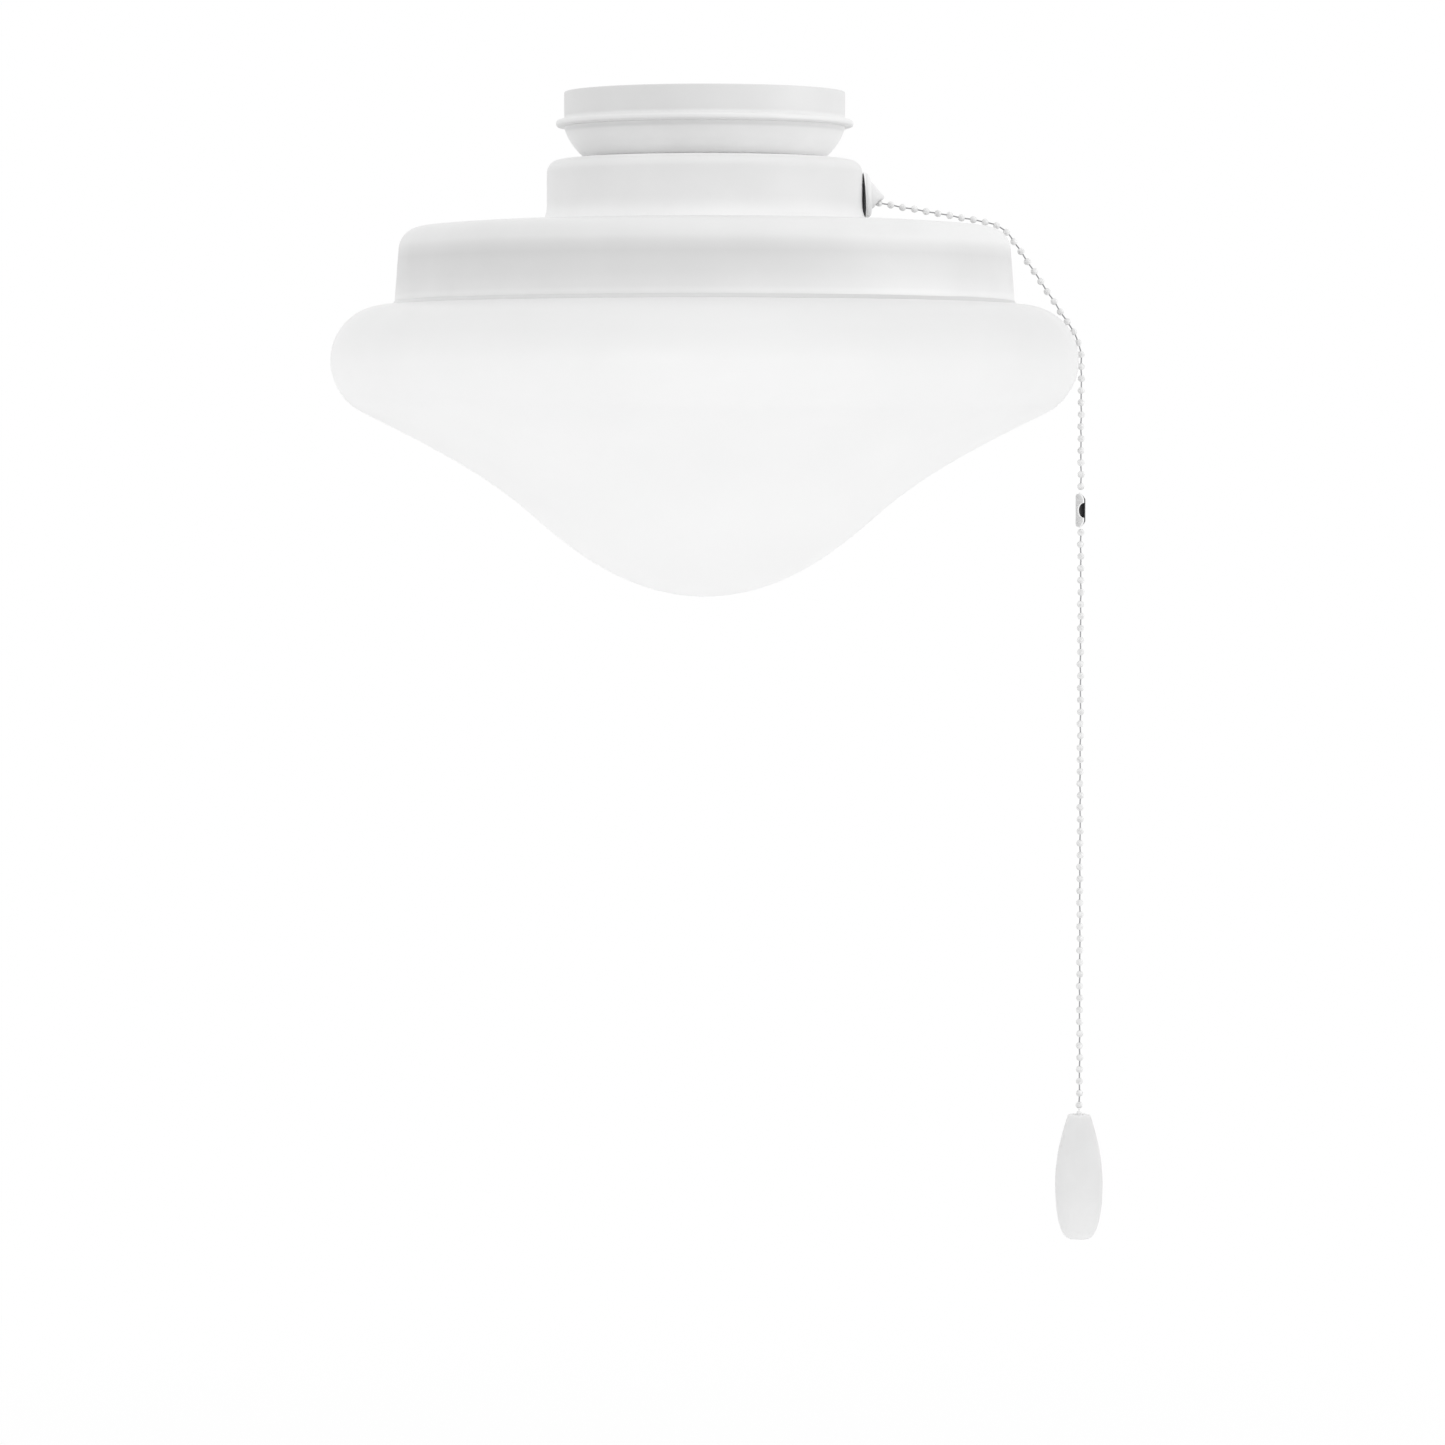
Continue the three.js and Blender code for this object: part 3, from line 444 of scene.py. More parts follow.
def claspFinish():
    # light lacquer outside with a painted highlight along the rolled rim, and painted shade inside: dark grey
    # where the sleeve's inside lies in shadow; the mesh says which in its rim layer and in "inside"
    material, nodes, links, shader = startMaterial("clasp lacquer", grey(214), 0.4)
    lacquer = addRamp(nodes, links, addNoise(nodes, links, 500, 2), grey(204), grey(213))
    outside = addMix(nodes, links, addLayer(nodes, "rimHighlight"), lacquer, grey(252))
    tint = addMix(nodes, links, addLayer(nodes, "inside"), outside, fromScreen(66, 66, 68))
    links.new(tint, shader.inputs["Base Color"])
    addBump(nodes, links, addNoise(nodes, links, 900, 2), 0.00001, shader)
    return material


def beadFinish():
    # white lacquer on the balls, bare steel on the wires; the mesh says which in "bareWire"
    material, nodes, links, shader = startMaterial("bead chain", grey(222), 0.3)
    lacquer = addRamp(nodes, links, addNoise(nodes, links, 800, 2), grey(218), grey(238), (0.35, 0.65))
    bareWire = addLayer(nodes, "bareWire")
    links.new(addMix(nodes, links, bareWire, lacquer, fromScreen(160, 160, 162)), shader.inputs["Base Color"])
    links.new(bareWire, shader.inputs["Metallic"])
    addBump(nodes, links, addNoise(nodes, links, 1500, 2), 0.00001, shader)
    return material


finishes = {
    # the paints' grey levels by height, and the bell's along X, are painted light and shade: bright bands at
    # the flange, the cap's bowl foot, the drum's top edge and foot, low on the pan and on the bell's lip;
    # dark bands under the flange, round the pan's shoulder and at its rim
    "cap": bakedPaint("fitter cap paint with painted shade", (
        (0.011, 220), (0.0018, 220), (0.0006, 232), (-0.0016, 231), (-0.0023, 221),
        (-0.003, 228), (-0.0042, 219), (-0.0052, 231), (-0.01, 236), (-0.0154, 250))),
    "drum": bakedPaint("drum paint with painted shade", (
        (-0.016, 250), (-0.0168, 230), (-0.022, 230), (-0.032, 235), (-0.038, 243), (-0.0413, 244))),
    "pan": bakedPaint("pan paint with painted shade", (
        (-0.0413, 227), (-0.0455, 226), (-0.0497, 227), (-0.0512, 223), (-0.0527, 218), (-0.0557, 212),
        (-0.0587, 216), (-0.064, 221), (-0.0693, 230), (-0.071, 238), (-0.0728, 236), (-0.0736, 205))),
    "bell": bakedPaint("bell paint with painted shade", (
        (0.0632, 253), (0.0641, 253), (0.0645, 232), (0.0661, 235), (0.0667, 226), (0.072, 232)), 0.3, "X"),
    "fob": milkyPlastic("fob plastic with painted shade", ((-0.4, 228), (-0.43, 234), (-0.4495, 242))),
    "opal": opalGlass((
        (-0.13, 254), (-0.12, 252.5), (-0.11, 249), (-0.104, 247.5), (-0.098, 244.5),
        (-0.092, 238.5), (-0.086, 233.5), (-0.08, 230), (-0.074, 230))),
    "zinc": plainMetal("zinc plate", (196, 198, 200), 0.34),
    "brass": plainMetal("turned brass", (214, 180, 112), 0.28),
    # near-black steel for the bell's nut is painted shade: it darkens the gap behind the bell
    "black": plainMetal("nut steel darkened as painted shade", (52, 52, 54), 0.5),
    "clasp": claspFinish(),
    "ferrule": bakedPaint("ferrule lacquer", ((-0.39, 240), (-0.41, 240)), 0.34),
    "beads": beadFinish(),
    "holder": mouldedPlastic("lampholder plastic", (232, 230, 222), 0.42),
    "lamp": mouldedPlastic("lamp diffuser", (244, 243, 238), 0.5),
    "switch": mouldedPlastic("switch plastic", (44, 44, 46), 0.45),
}
print("materials made:", len(finishes))


# Fitter cap: a collar that slides into the fan, a folded flange and a pressed bowl

def makeFitterCap():
    # the bowl is an arc through both its ends: its centre stands off the chord's middle by the root
    # of its radius squared less a quarter of the chord squared
    cap = {"wall": 0.0012, "collarRadius": 0.0561, "flangeThickness": 0.0028, "flangeRound": 0.0012,
           "floorRadius": 0.0472, "bowlRadius": 0.0226, "edge": 0.0005, "fillet": 0.0014, "seat": 0.015,
           "seatSlope": 0.003, "seatRound": 0.002, "dish": 0.0004}
    collar, wall = cap["collarRadius"], cap["wall"]
    flange = radiusOf("fitter_cap")
    under = -cap["flangeThickness"]
    # the floor is pressed down a little outside the seat of the washers
    floor = capUnderside - cap["dish"]
    start, end = np.array([collar, under]), np.array([cap["floorRadius"], floor])
    middle, chord = (start + end) / 2, end - start
    length = np.linalg.norm(chord)
    rise = math.sqrt(cap["bowlRadius"] ** 2 - length ** 2 / 4)
    centre = middle + rise * np.array([chord[1], -chord[0]]) / length
    first = math.degrees(math.atan2(*(start - centre)[::-1]))
    last = math.degrees(math.atan2(*(end - centre)[::-1]))
    bowl = arcOutline(centre, cap["bowlRadius"], first, last)
    inner = arcOutline(centre, cap["bowlRadius"] - wall, last, first)
    inner = inner[(inner[:, 1] > floor + wall) & (inner[:, 0] < collar - wall)]
    upper = roundedOutline([
        (collar - wall, under, 0),
        (collar - wall, collarTop, cap["edge"]),
        (collar, collarTop, cap["edge"]),
        (collar, 0, cap["fillet"]),
        (flange, 0, cap["flangeRound"]),
        (flange, under, cap["flangeRound"]),
        (collar, under, 0),
    ], closed=False)
    lower = roundedOutline([
        (cap["floorRadius"], floor, 0),
        (cap["seat"] + cap["seatSlope"], floor, cap["seatRound"]),
        (cap["seat"], capUnderside, cap["seatRound"]),
        (nippleHole, capUnderside, cap["edge"]),
        (nippleHole, capUnderside + wall, cap["edge"]),
        (cap["seat"], capUnderside + wall, cap["seatRound"]),
        (cap["seat"] + cap["seatSlope"], floor + wall, cap["seatRound"]),
        (cap["floorRadius"] - wall / 2, floor + wall, 0),
    ], closed=False)
    outline = np.concatenate([upper[1:], bowl[1:], lower[1:], inner])
    gridPiece("fitter_cap_shell", turned(outline), "root", finishes["cap"], "fitter_cap", loop=True)


# Switch drum: round shoulder, straight wall, foot flaring on to the pan

def makeSwitchHousing():
    # the flare leaves the wall upright and is an arc: its radius is its height squared plus its
    # reach squared, over twice its reach
    drum = {"shoulder": 0.0052, "flare": 0.0076, "seat": 0.015, "seatSlope": 0.003, "seatRound": 0.002,
            "crown": 0.0003}
    foot = radiusOf("switch_housing")
    flareOut = foot - drumRadius
    flareRadius = (drum["flare"] ** 2 + flareOut ** 2) / (2 * flareOut)
    flareAngle = math.degrees(math.asin(drum["flare"] / flareRadius))
    centre = (drumRadius + flareRadius, panTop + drum["flare"])
    crown = drumTop + drum["crown"]
    top = roundedOutline([
        (nippleHole, drumTop, 0),
        (drum["seat"], drumTop, drum["seatRound"]),
        (drum["seat"] + drum["seatSlope"], crown, drum["seatRound"]),
        (drumRadius, crown, drum["shoulder"]),
        (drumRadius, panTop + drum["flare"], 0),
    ], closed=False, steps=14)
    flare = arcOutline(centre, flareRadius, 180, 180 + flareAngle)
    outside = np.concatenate([top, flare[1:]])
    inside = movedAside(outside, -drumWall)[::-1]
    inside[-1] = (nippleHole, drumTop - drumWall)
    inside[0] = (foot - drumWall, panTop)
    gridPiece("switch_housing_shell", turned(np.concatenate([outside, inside])), "root", finishes["drum"],
              "switch_housing", loop=True)


# Pan: seat for the drum, slightly domed top, round shoulder, drafted wall with a curled edge

def makeHolderPan():
    # the dome is a cubic curve from the drum's seat to the shoulder, which is an arc
    pan = {"wall": 0.0009, "shoulder": 0.0093, "shoulderCentre": 0.1129, "seat": 0.068, "seatReach": 0.012,
           "domeDrop": 0.0015, "domeAngle": 6, "domeReach": 0.016, "curl": 0.0004}
    tilt = math.radians(pan["domeAngle"])
    centre = (pan["shoulderCentre"], panTop - pan["domeDrop"] - pan["shoulder"] * math.cos(tilt))
    shoulder = arcOutline(centre, pan["shoulder"], 90 - pan["domeAngle"], 0, 20)
    dome = curveOutline((pan["seat"], panTop), 0, pan["seatReach"],
                        shoulder[0], -pan["domeAngle"], pan["domeReach"], 12)
    outside = np.concatenate([[(nippleHole, panTop)], dome, shoulder[1:], [(panRimRadius, panRim)]])
    inside = movedAside(outside, -pan["wall"])[::-1]
    inside[-1] = (nippleHole, panTop - pan["wall"])
    inside[0] = (panRimRadius - pan["wall"], panRim)
    edge = roundedOutline([
        tuple(outside[-2]),
        (panRimRadius, panRim, pan["curl"]),
        (panRimRadius - pan["wall"], panRim, pan["curl"]),
        tuple(inside[1]),
    ], closed=False)
    outline = np.concatenate([outside[:-1], edge[1:-1], inside[1:]])
    gridPiece("holder_pan_shell", turned(outline), "root", finishes["pan"], "holder_pan", loop=True)


# Opal bowl: full round rim, drawn-in waist, round bottom, and a neck with three lugs

def makeGlassBowl():
    # outside: two arcs and two cubic curves, whose reaches are shares of their chords; inside: the
    # same points moved in by the wall
    bowl = {"wall": 0.0035, "rimArc": 0.0219, "turnArc": 0.0233, "turnAngle": 63.7, "waistRadius": 0.0687,
            "waistDepth": 0.0839, "waistAngle": 41.8, "reachShares": (0.336, 0.329, 0.317, 0.378),
            "neckRadius": 0.117, "neckFillet": 0.002, "neckFoot": 0.0015, "lip": 0.0012, "turns": 240}
    lug = {"count": 3, "first": 90, "radius": 0.1195, "angle": 16, "thickness": 0.0036, "drop": 0.0026,
           "ramp": 0.0003, "rampAngle": 1.0, "rows": 14}
    reach = bowl["reachShares"]
    top = panRim - fitGap
    widest = top - bowl["rimArc"]
    rim = arcOutline((glassRadius - bowl["rimArc"], widest), bowl["rimArc"], 90, 0, 24)
    turn = arcOutline((glassRadius - bowl["turnArc"], widest), bowl["turnArc"], 0, -bowl["turnAngle"], 20)
    waist = np.array([bowl["waistRadius"], top - bowl["waistDepth"]])
    bottom = np.array([0.0, glassFoot])
    upper, lower = np.linalg.norm(turn[-1] - waist), np.linalg.norm(waist - bottom)
    heading = 180 + bowl["waistAngle"]
    flank = curveOutline(turn[-1], -90 - bowl["turnAngle"], reach[0] * upper,
                         waist, heading, reach[1] * upper, 30)
    base = curveOutline(waist, heading, reach[2] * lower, bottom, 180, reach[3] * lower, 36)
    outside = np.concatenate([rim, turn[1:], flank[1:], base[1:]])
    inside = movedAside(outside, -bowl["wall"])[::-1]
    outside, inside = outside[:-1], inside[1:]
    neck, neckBore = bowl["neckRadius"], bowl["neckRadius"] - bowl["wall"]
    upperNeck = roundedOutline([
        (inside[-1][0], top - bowl["wall"], 0),
        (neckBore, top - bowl["wall"], bowl["neckFillet"]),
        (neckBore, glassNeckTop, bowl["lip"]),
        (neck, glassNeckTop, bowl["lip"]),
        (neck, top, bowl["neckFoot"]),
        (outside[0][0], top, 0),
    ], closed=False)
    # rows are added down the neck, close enough together to hold a lug's edges
    lugTop = glassNeckTop - lug["drop"]
    lugFoot = lugTop - lug["thickness"]
    above = lugTop + lug["ramp"]
    levels = np.linspace(above, lugFoot - lug["ramp"], lug["rows"])
    start = np.argmax((upperNeck[:, 0] > neck - 1e-6) & (upperNeck[:, 1] < above))
    lugRows = np.stack([np.full(lug["rows"], neck), levels], 1)
    neckRows = np.concatenate([upperNeck[:start], lugRows, upperNeck[start:]])
    outline = np.concatenate([inside, neckRows[1:-1], outside])
    points = turned(outline, bowl["turns"])
    # a lug is a window in height times a window in angle, each with short ramps, pushed outwards
    height = outline[:, 1:]
    angle = np.degrees(anglesRound(bowl["turns"]))
    apart = 360 / lug["count"]
    away = np.abs((angle - lug["first"] + apart / 2) % apart - apart / 2)
    across = np.clip((lug["angle"] / 2 - away) / lug["rampAngle"], 0, 1)
    tall = np.clip((lugTop - height) / lug["ramp"], 0, 1) * np.clip((height - lugFoot) / lug["ramp"], 0, 1)
    onNeck = np.abs(outline[:, :1] - neck) < 1e-6
    swell = 1 + onNeck * tall * across * (lug["radius"] / neck - 1)
    points[..., :2] *= swell[..., None]
    gridPiece("glass_bowl_shell", points, "glass", finishes["opal"], "glass_bowl", capped=True)


print("turning the housing")
makeFitterCap()
makeSwitchHousing()
makeHolderPan()
makeGlassBowl()


# Fixings up the middle: threaded nipple, toothed washer, nuts and spacer

def threadWave(turnsAlong):
    # rounded ridge and groove: a cosine flattened a little towards its crest and root
    wave = np.cos(tau * turnsAlong)
    return np.sign(wave) * np.abs(wave) ** 0.7


def makeNipple():
    # radius: the root plus the depth times half of one plus the wave, which moves on one pitch a
    # turn and fades out over two pitches at both ends
    rod = {"major": 0.0051, "depth": 0.0003, "pitch": 0.00094, "bore": 0.0036, "edge": 0.0004,
           "endRound": 0.0001, "boreRound": 0.0003, "rowsPerPitch": 8}
    low, high = footOf("threaded_nipple"), topOf("threaded_nipple")
    root = rod["major"] - rod["depth"]
    count = int((high - low) / rod["pitch"] * rod["rowsPerPitch"])
    angles = anglesRound(smallTurns)
    height = np.linspace(low + rod["edge"], high - rod["edge"], count)[:, None]
    wave = threadWave(height / rod["pitch"] - angles / tau)
    fade = np.clip(np.minimum(height - low, high - height) / (2 * rod["pitch"]), 0, 1)
    radius = root + rod["depth"] * (1 + wave) / 2 * fade
    ends = roundedOutline([
        (root, high - rod["edge"], 0),
        (root - rod["edge"], high, rod["endRound"]),
        (rod["bore"], high, rod["boreRound"]),
        (rod["bore"], low, rod["boreRound"]),
        (root - rod["edge"], low, rod["endRound"]),
        (root, low + rod["edge"], 0),
    ], closed=False)
    points = np.concatenate([carried(radius, angles, height), turned(ends[1:-1], smallTurns)])
    gridPiece("threaded_nipple_steel", points, "root", finishes["zinc"], "threaded_nipple", loop=True)


def makeHexNut(node, finish):
    nut = {"across": 0.0159, "edge": 0.0005, "faceIn": 0.0002, "chamfer": math.tan(math.radians(28)),
           "turns": 144}
    low, high = footOf(node), topOf(node)
    angles = anglesRound(nut["turns"])
    # distance to the flats at each angle; corners are chamfered by their reach past the flats
    away = (angles + tau / 12) % (tau / 6) - tau / 12
    reach = nut["across"] / 2 / np.cos(away)
    face = nut["across"] / 2 - nut["faceIn"]
    cut = (reach - face) * nut["chamfer"]
    edge = nut["edge"]
    rows = [(nippleHole, high - edge), (nippleHole + edge, high), (face, high), (reach, high - cut),
            (reach, (low + high) / 2), (reach, low + cut), (face, low), (nippleHole + edge, low),
            (nippleHole, low + edge)]
    points = [carried(radius, angles, height) for radius, height in rows]
    gridPiece(node + "_turned", np.array(points), "root", finish, node, loop=True, sharp=25)


def makeToothedWasher():
    washer = {"root": 0.0079, "rootIn": 0.0004, "tip": 0.0096, "half": 0.0003, "edge": 0.0001, "teeth": 14,
              "perTooth": 12, "steepness": 1.4, "twist": 0.0003}
    middle = (footOf("lock_washer") + topOf("lock_washer")) / 2
    angles = anglesRound(washer["teeth"] * washer["perTooth"])
    # teeth: a steepened sine of the angle times their number; each leans up at one flank
    tooth = np.clip(0.5 + washer["steepness"] * np.sin(washer["teeth"] * angles), 0, 1)
    lean = washer["twist"] * np.cos(washer["teeth"] * angles) * tooth
    outer = washer["root"] + (washer["tip"] - washer["root"]) * tooth
    root = washer["root"] - washer["rootIn"]
    high, low = middle + washer["half"], middle - washer["half"]
    rows = [(nippleHole, high), (root, high), (outer - washer["edge"], high + lean), (outer, middle + lean),
            (outer - washer["edge"], low + lean), (root, low), (nippleHole, low)]
    points = [carried(radius, angles, height) for radius, height in rows]
    gridPiece("lock_washer_toothed", np.array(points), "root", finishes["zinc"], "lock_washer", loop=True)


def makeSpacer():
    # a rectangle with rounded corners, turned
    ring = {"outer": 0.0105, "edge": 0.0003}
    low, high = footOf("spacer_washer"), topOf("spacer_washer")
    outline = roundedOutline([
        (nippleHole, low, ring["edge"]),
        (ring["outer"], low, ring["edge"]),
        (ring["outer"], high, ring["edge"]),
        (nippleHole, high, ring["edge"]),
    ])
    points = turned(outline, smallTurns)
    gridPiece("spacer_washer_turned", points, "root", finishes["zinc"], "spacer_washer", loop=True)


# Bracket: stadium strap round the nipple

def makeBracket():
    strap = {"width": 0.018, "edge": 0.0004, "turns": 240}
    low, high = footOf("lampholder_bracket"), topOf("lampholder_bracket")
    angles = anglesRound(strap["turns"])
    c, s = np.abs(np.cos(angles)), np.abs(np.sin(angles))
    # a ray from the middle meets the straight side at width over sine, or else the round end
    side = strap["width"] / np.maximum(s, 1e-9)
    end = lampReach * c + np.sqrt(np.maximum(strap["width"] ** 2 - (lampReach * s) ** 2, 0))
    reach = np.where(side * c <= lampReach, side, end)
    edge = strap["edge"]
    halfway = (nippleHole + reach) / 2
    rows = [(nippleHole, high - edge), (nippleHole + edge, high), (halfway, high), (reach - edge, high),
            (reach, high - edge), (reach, low + edge), (reach - edge, low), (halfway, low),
            (nippleHole + edge, low), (nippleHole, low + edge)]
    points = np.array([carried(radius, angles, height) for radius, height in rows])
    gridPiece("lampholder_bracket_strap", points, "root", finishes["zinc"], "lampholder_bracket", loop=True)


# Lampholders and lamps; cap and shell share one thread, so they stay in mesh as a lamp turns

lampThread = {"pitch": 0.003629, "depth": 0.0006, "crest": 0.01315, "rowsPerPitch": 10}


def threadRadius(height, angles):
    # the crest less the depth times half of one less the wave
    wave = threadWave(height / lampThread["pitch"] + angles / tau)
    return lampThread["crest"] - lampThread["depth"] * (1 - wave) / 2


def threadedRows(low, high, offset, runOut=0.0015):
    # the thread's radius by height and angle, drawn to half its depth near both ends, plus the offset
    count = max(8, int((high - low) / lampThread["pitch"] * lampThread["rowsPerPitch"]))
    angles = anglesRound(middleTurns)
    height = np.linspace(low, high, count)[:, None]
    fade = np.clip(np.minimum(height - low, high - height) / runOut, 0, 1)
    plain = lampThread["crest"] - lampThread["depth"] / 2
    return carried(plain + (threadRadius(height, angles) - plain) * fade + offset, angles, height)


def makeLampholder(number, x):
    # a cup's outline, turned and moved to its lamp's axis
    cup = {"axis": 0.0009, "radius": 0.017, "base": 0.005, "bore": 0.01425, "boreRound": 0.001,
           "edge": 0.0012, "lip": 0.0006, "mouthBand": 0.006, "topBand": 0.0052, "slope": 0.0008,
           "gripIn": 0.0006, "gripRound": 0.0004, "rib": 0.0004, "ribs": 24, "turns": 144}
    node = f"lampholder_{number}"
    top, mouth = topOf(node), footOf(node)
    seat = top - cup["base"]
    grip = cup["radius"] - cup["gripIn"]
    outline = roundedOutline([
        (cup["axis"], seat, 0),
        (cup["bore"], seat, cup["boreRound"]),
        (cup["bore"], mouth, cup["lip"]),
        (cup["radius"], mouth, cup["lip"]),
        (cup["radius"], mouth + cup["mouthBand"], 0),
        (grip, mouth + cup["mouthBand"] + cup["slope"], cup["gripRound"]),
        (grip, top - cup["topBand"] - cup["slope"], cup["gripRound"]),
        (cup["radius"], top - cup["topBand"], 0),
        (cup["radius"], top, cup["edge"]),
        (cup["axis"], top, 0),
    ], closed=False)
    points = turned(outline, cup["turns"])
    # ribs on the grip: a clipped sine of the angle times their number, pushed outwards
    ribs = np.clip(0.5 + np.sin(cup["ribs"] * anglesRound(cup["turns"])), 0, 1)
    onGrip = (np.abs(outline[:, 0] - grip) < 1e-5)[:, None]
    points[..., :2] *= (1 + onGrip * ribs * cup["rib"] / cup["radius"])[..., None]
    gridPiece(node + "_cup", points + (x, 0, 0), "root", finishes["holder"], node, capped=True)


def makeHolderShell(number, x):
    # both faces of the spun shell carry the thread, and its top turns in to an eye
    shell = {"inner": 0.0003, "outer": 0.00065, "footGap": 0.0003, "topBand": 0.002, "sheet": 0.0006,
             "eye": 0.006, "eyeRound": 0.0002, "innerTop": 0.013, "innerRound": 0.0003, "outerTop": 0.0134,
             "outerRound": 0.0008}
    node = f"lampholder_{number}_shell"
    top, foot = topOf(node), footOf(node) + shell["footGap"]
    threadTop, under = top - shell["topBand"], top - shell["sheet"]
    eye = roundedOutline([
        (shell["innerTop"], under, shell["innerRound"]),
        (shell["eye"], under, shell["eyeRound"]),
        (shell["eye"], top, shell["eyeRound"]),
        (shell["outerTop"], top, shell["outerRound"]),
    ])
    points = np.concatenate([threadedRows(foot, threadTop, shell["inner"]), turned(eye, middleTurns),
                             threadedRows(threadTop, foot, shell["outer"])])
    gridPiece(node + "_spun", points + (x, 0, 0), "root", finishes["brass"], node, loop=True)


def makeLampContact(number, x):
    # a button's outline, turned
    button = {"dome": 0.0036, "domeDrop": 0.0001, "domeRound": 0.001, "radius": 0.0048, "band": 0.0005,
              "bandRound": 0.0004, "edge": 0.0002}
    node = f"lamp_{number}_contact"
    top, foot = topOf(node), footOf(node)
    outline = roundedOutline([
        (nearAxis, top, 0),
        (button["dome"], top - button["domeDrop"], button["domeRound"]),
        (button["radius"], foot + button["band"], button["bandRound"]),
        (button["radius"], foot, button["edge"]),
        (nearAxis, foot, 0),
    ], closed=False)
    points = turned(outline, smallTurns) + (x, 0, 0)
    gridPiece(node + "_button", points, f"lamp_{number}_tip", finishes["brass"], node, capped=True)


def makeScrewCap(number, x):
    # a turned crown, the threaded rows and a turned foot, one after another
    cap = {"crown": 0.0048, "crownRound": 0.0004, "slope": 0.0085, "slopeDrop": 0.0016, "slopeRound": 0.0006,
           "plain": 0.01285, "shoulder": 0.003, "shoulderRound": 0.0012, "shoulderBand": 0.0008,
           "threadDrop": 0.001, "threadFoot": 0.002, "footBand": 0.0018, "footRound": 0.0004}
    node = f"lamp_{number}_screw_cap"
    top, foot = topOf(node), footOf(node)
    shoulder = top - cap["shoulder"]
    crown = roundedOutline([
        (nearAxis, top, 0),
        (cap["crown"], top, cap["crownRound"]),
        (cap["slope"], top - cap["slopeDrop"], cap["slopeRound"]),
        (cap["plain"], shoulder, cap["shoulderRound"]),
        (cap["plain"], shoulder - cap["shoulderBand"], 0),
    ], closed=False)
    thread = threadedRows(shoulder - cap["threadDrop"], foot + cap["threadFoot"], 0.0)
    end = roundedOutline([
        (cap["plain"], foot + cap["footBand"], 0),
        (cap["plain"], foot, cap["footRound"]),
        (nearAxis, foot, 0),
    ], closed=False)
    points = np.concatenate([turned(crown, middleTurns), thread, turned(end, middleTurns)]) + (x, 0, 0)
    gridPiece(node + "_rolled", points, f"lamp_{number}", finishes["zinc"], node, capped=True)


def makeGlobe(number, x):
    # a cubic curve from the neck to the widest place and an arc under it, turned
    globe = {"neck": 0.0127, "edge": 0.0006, "radius": 0.024, "reachShare": 0.55}
    node = f"lamp_{number}_globe"
    top, centre = topOf(node), footOf(node) + globe["radius"]
    reach = globe["reachShare"] * (top - centre)
    neckTop, widest = (globe["neck"], top - globe["edge"]), (globe["radius"], centre)
    neck = curveOutline(neckTop, -90, reach, widest, -90, reach)
    ball = arcOutline((0, centre), globe["radius"], 0, -89, 24)
    outline = np.concatenate([[(nearAxis, top), (globe["neck"] - globe["edge"], top)], neck, ball[1:]])
    points = turned(outline, middleTurns) + (x, 0, 0)
    gridPiece(node + "_blown", points, f"lamp_{number}", finishes["lamp"], node, capped=True)


# Clips: bent sheet swept round the axis, a shelf under each lug and a stop at one end

def sheetSector(path, thickness, fromAngle, toAngle, steps=24):
    # the path and its copy moved aside make the section, which is carried from angle to angle
    section = np.concatenate([path, movedAside(path, thickness)[::-1]])
    angles = np.radians(np.linspace(fromAngle, toAngle, steps + 1))[:, None]
    return carried(section[:, 0], angles, section[:, 1])


def makeClips():
    # each clip's section is carried through its angle, and the clips stand even angles apart
    clip = {"count": 3, "sheet": 0.0012, "shelfStart": 0.1178, "wall": 0.1216, "wallLean": 0.0002,
            "bend": 0.0016, "lug": 16, "lugRadius": 0.1195, "angle": 20, "stopAngle": 2,
            "stopHeight": 0.0024, "first": 90}
    under, top = footOf("glass_clip_1"), topOf("glass_clip_1")
    shelf = under + clip["sheet"]
    wall = clip["wall"]
    path = roundedOutline([
        (clip["shelfStart"], under, 0),
        (wall, under, clip["bend"]),
        (wall - clip["wallLean"], top, 0),
    ], closed=False)
    stopPath = np.array([(clip["shelfStart"], shelf), (wall - clip["bend"], shelf)])
    gapAngle = math.degrees(fitGap / clip["lugRadius"])
    for i in range(clip["count"]):
        node = f"glass_clip_{i + 1}"
        start = clip["first"] + 360 / clip["count"] * i - clip["lug"] / 2 - gapAngle - clip["stopAngle"]
        bent = sheetSector(path, clip["sheet"], start, start + clip["angle"])
        sheetPiece(node + "_bent", bent, "root", finishes["zinc"], node)
        stop = sheetSector(stopPath, clip["stopHeight"], start, start + clip["stopAngle"], 4)
        sheetPiece(node + "_stop", stop, "root", finishes["zinc"])


print("fixings, lampholders and lamps")
makeNipple()
makeHexNut("locknut_top", finishes["brass"])
makeHexNut("locknut_bottom", finishes["brass"])
makeToothedWasher()
makeSpacer()
makeBracket()
for number, x in ((1, -lampReach), (2, lampReach)):
    makeLampholder(number, x)
    makeHolderShell(number, x)
    makeLampContact(number, x)
    makeScrewCap(number, x)
    makeGlobe(number, x)
makeClips()


# Pull switch on the drum wall: it lies along the outward direction, at the height of the bell

switchHeight = -0.0296


def layOut(points):
    # a shape turned round Z is laid down so that Z points outwards, at the switch's height
    across = points[..., :1] * -upward + points[..., 1:2] * sideways
    return across + points[..., 2:] * outward + switchHeight * upward


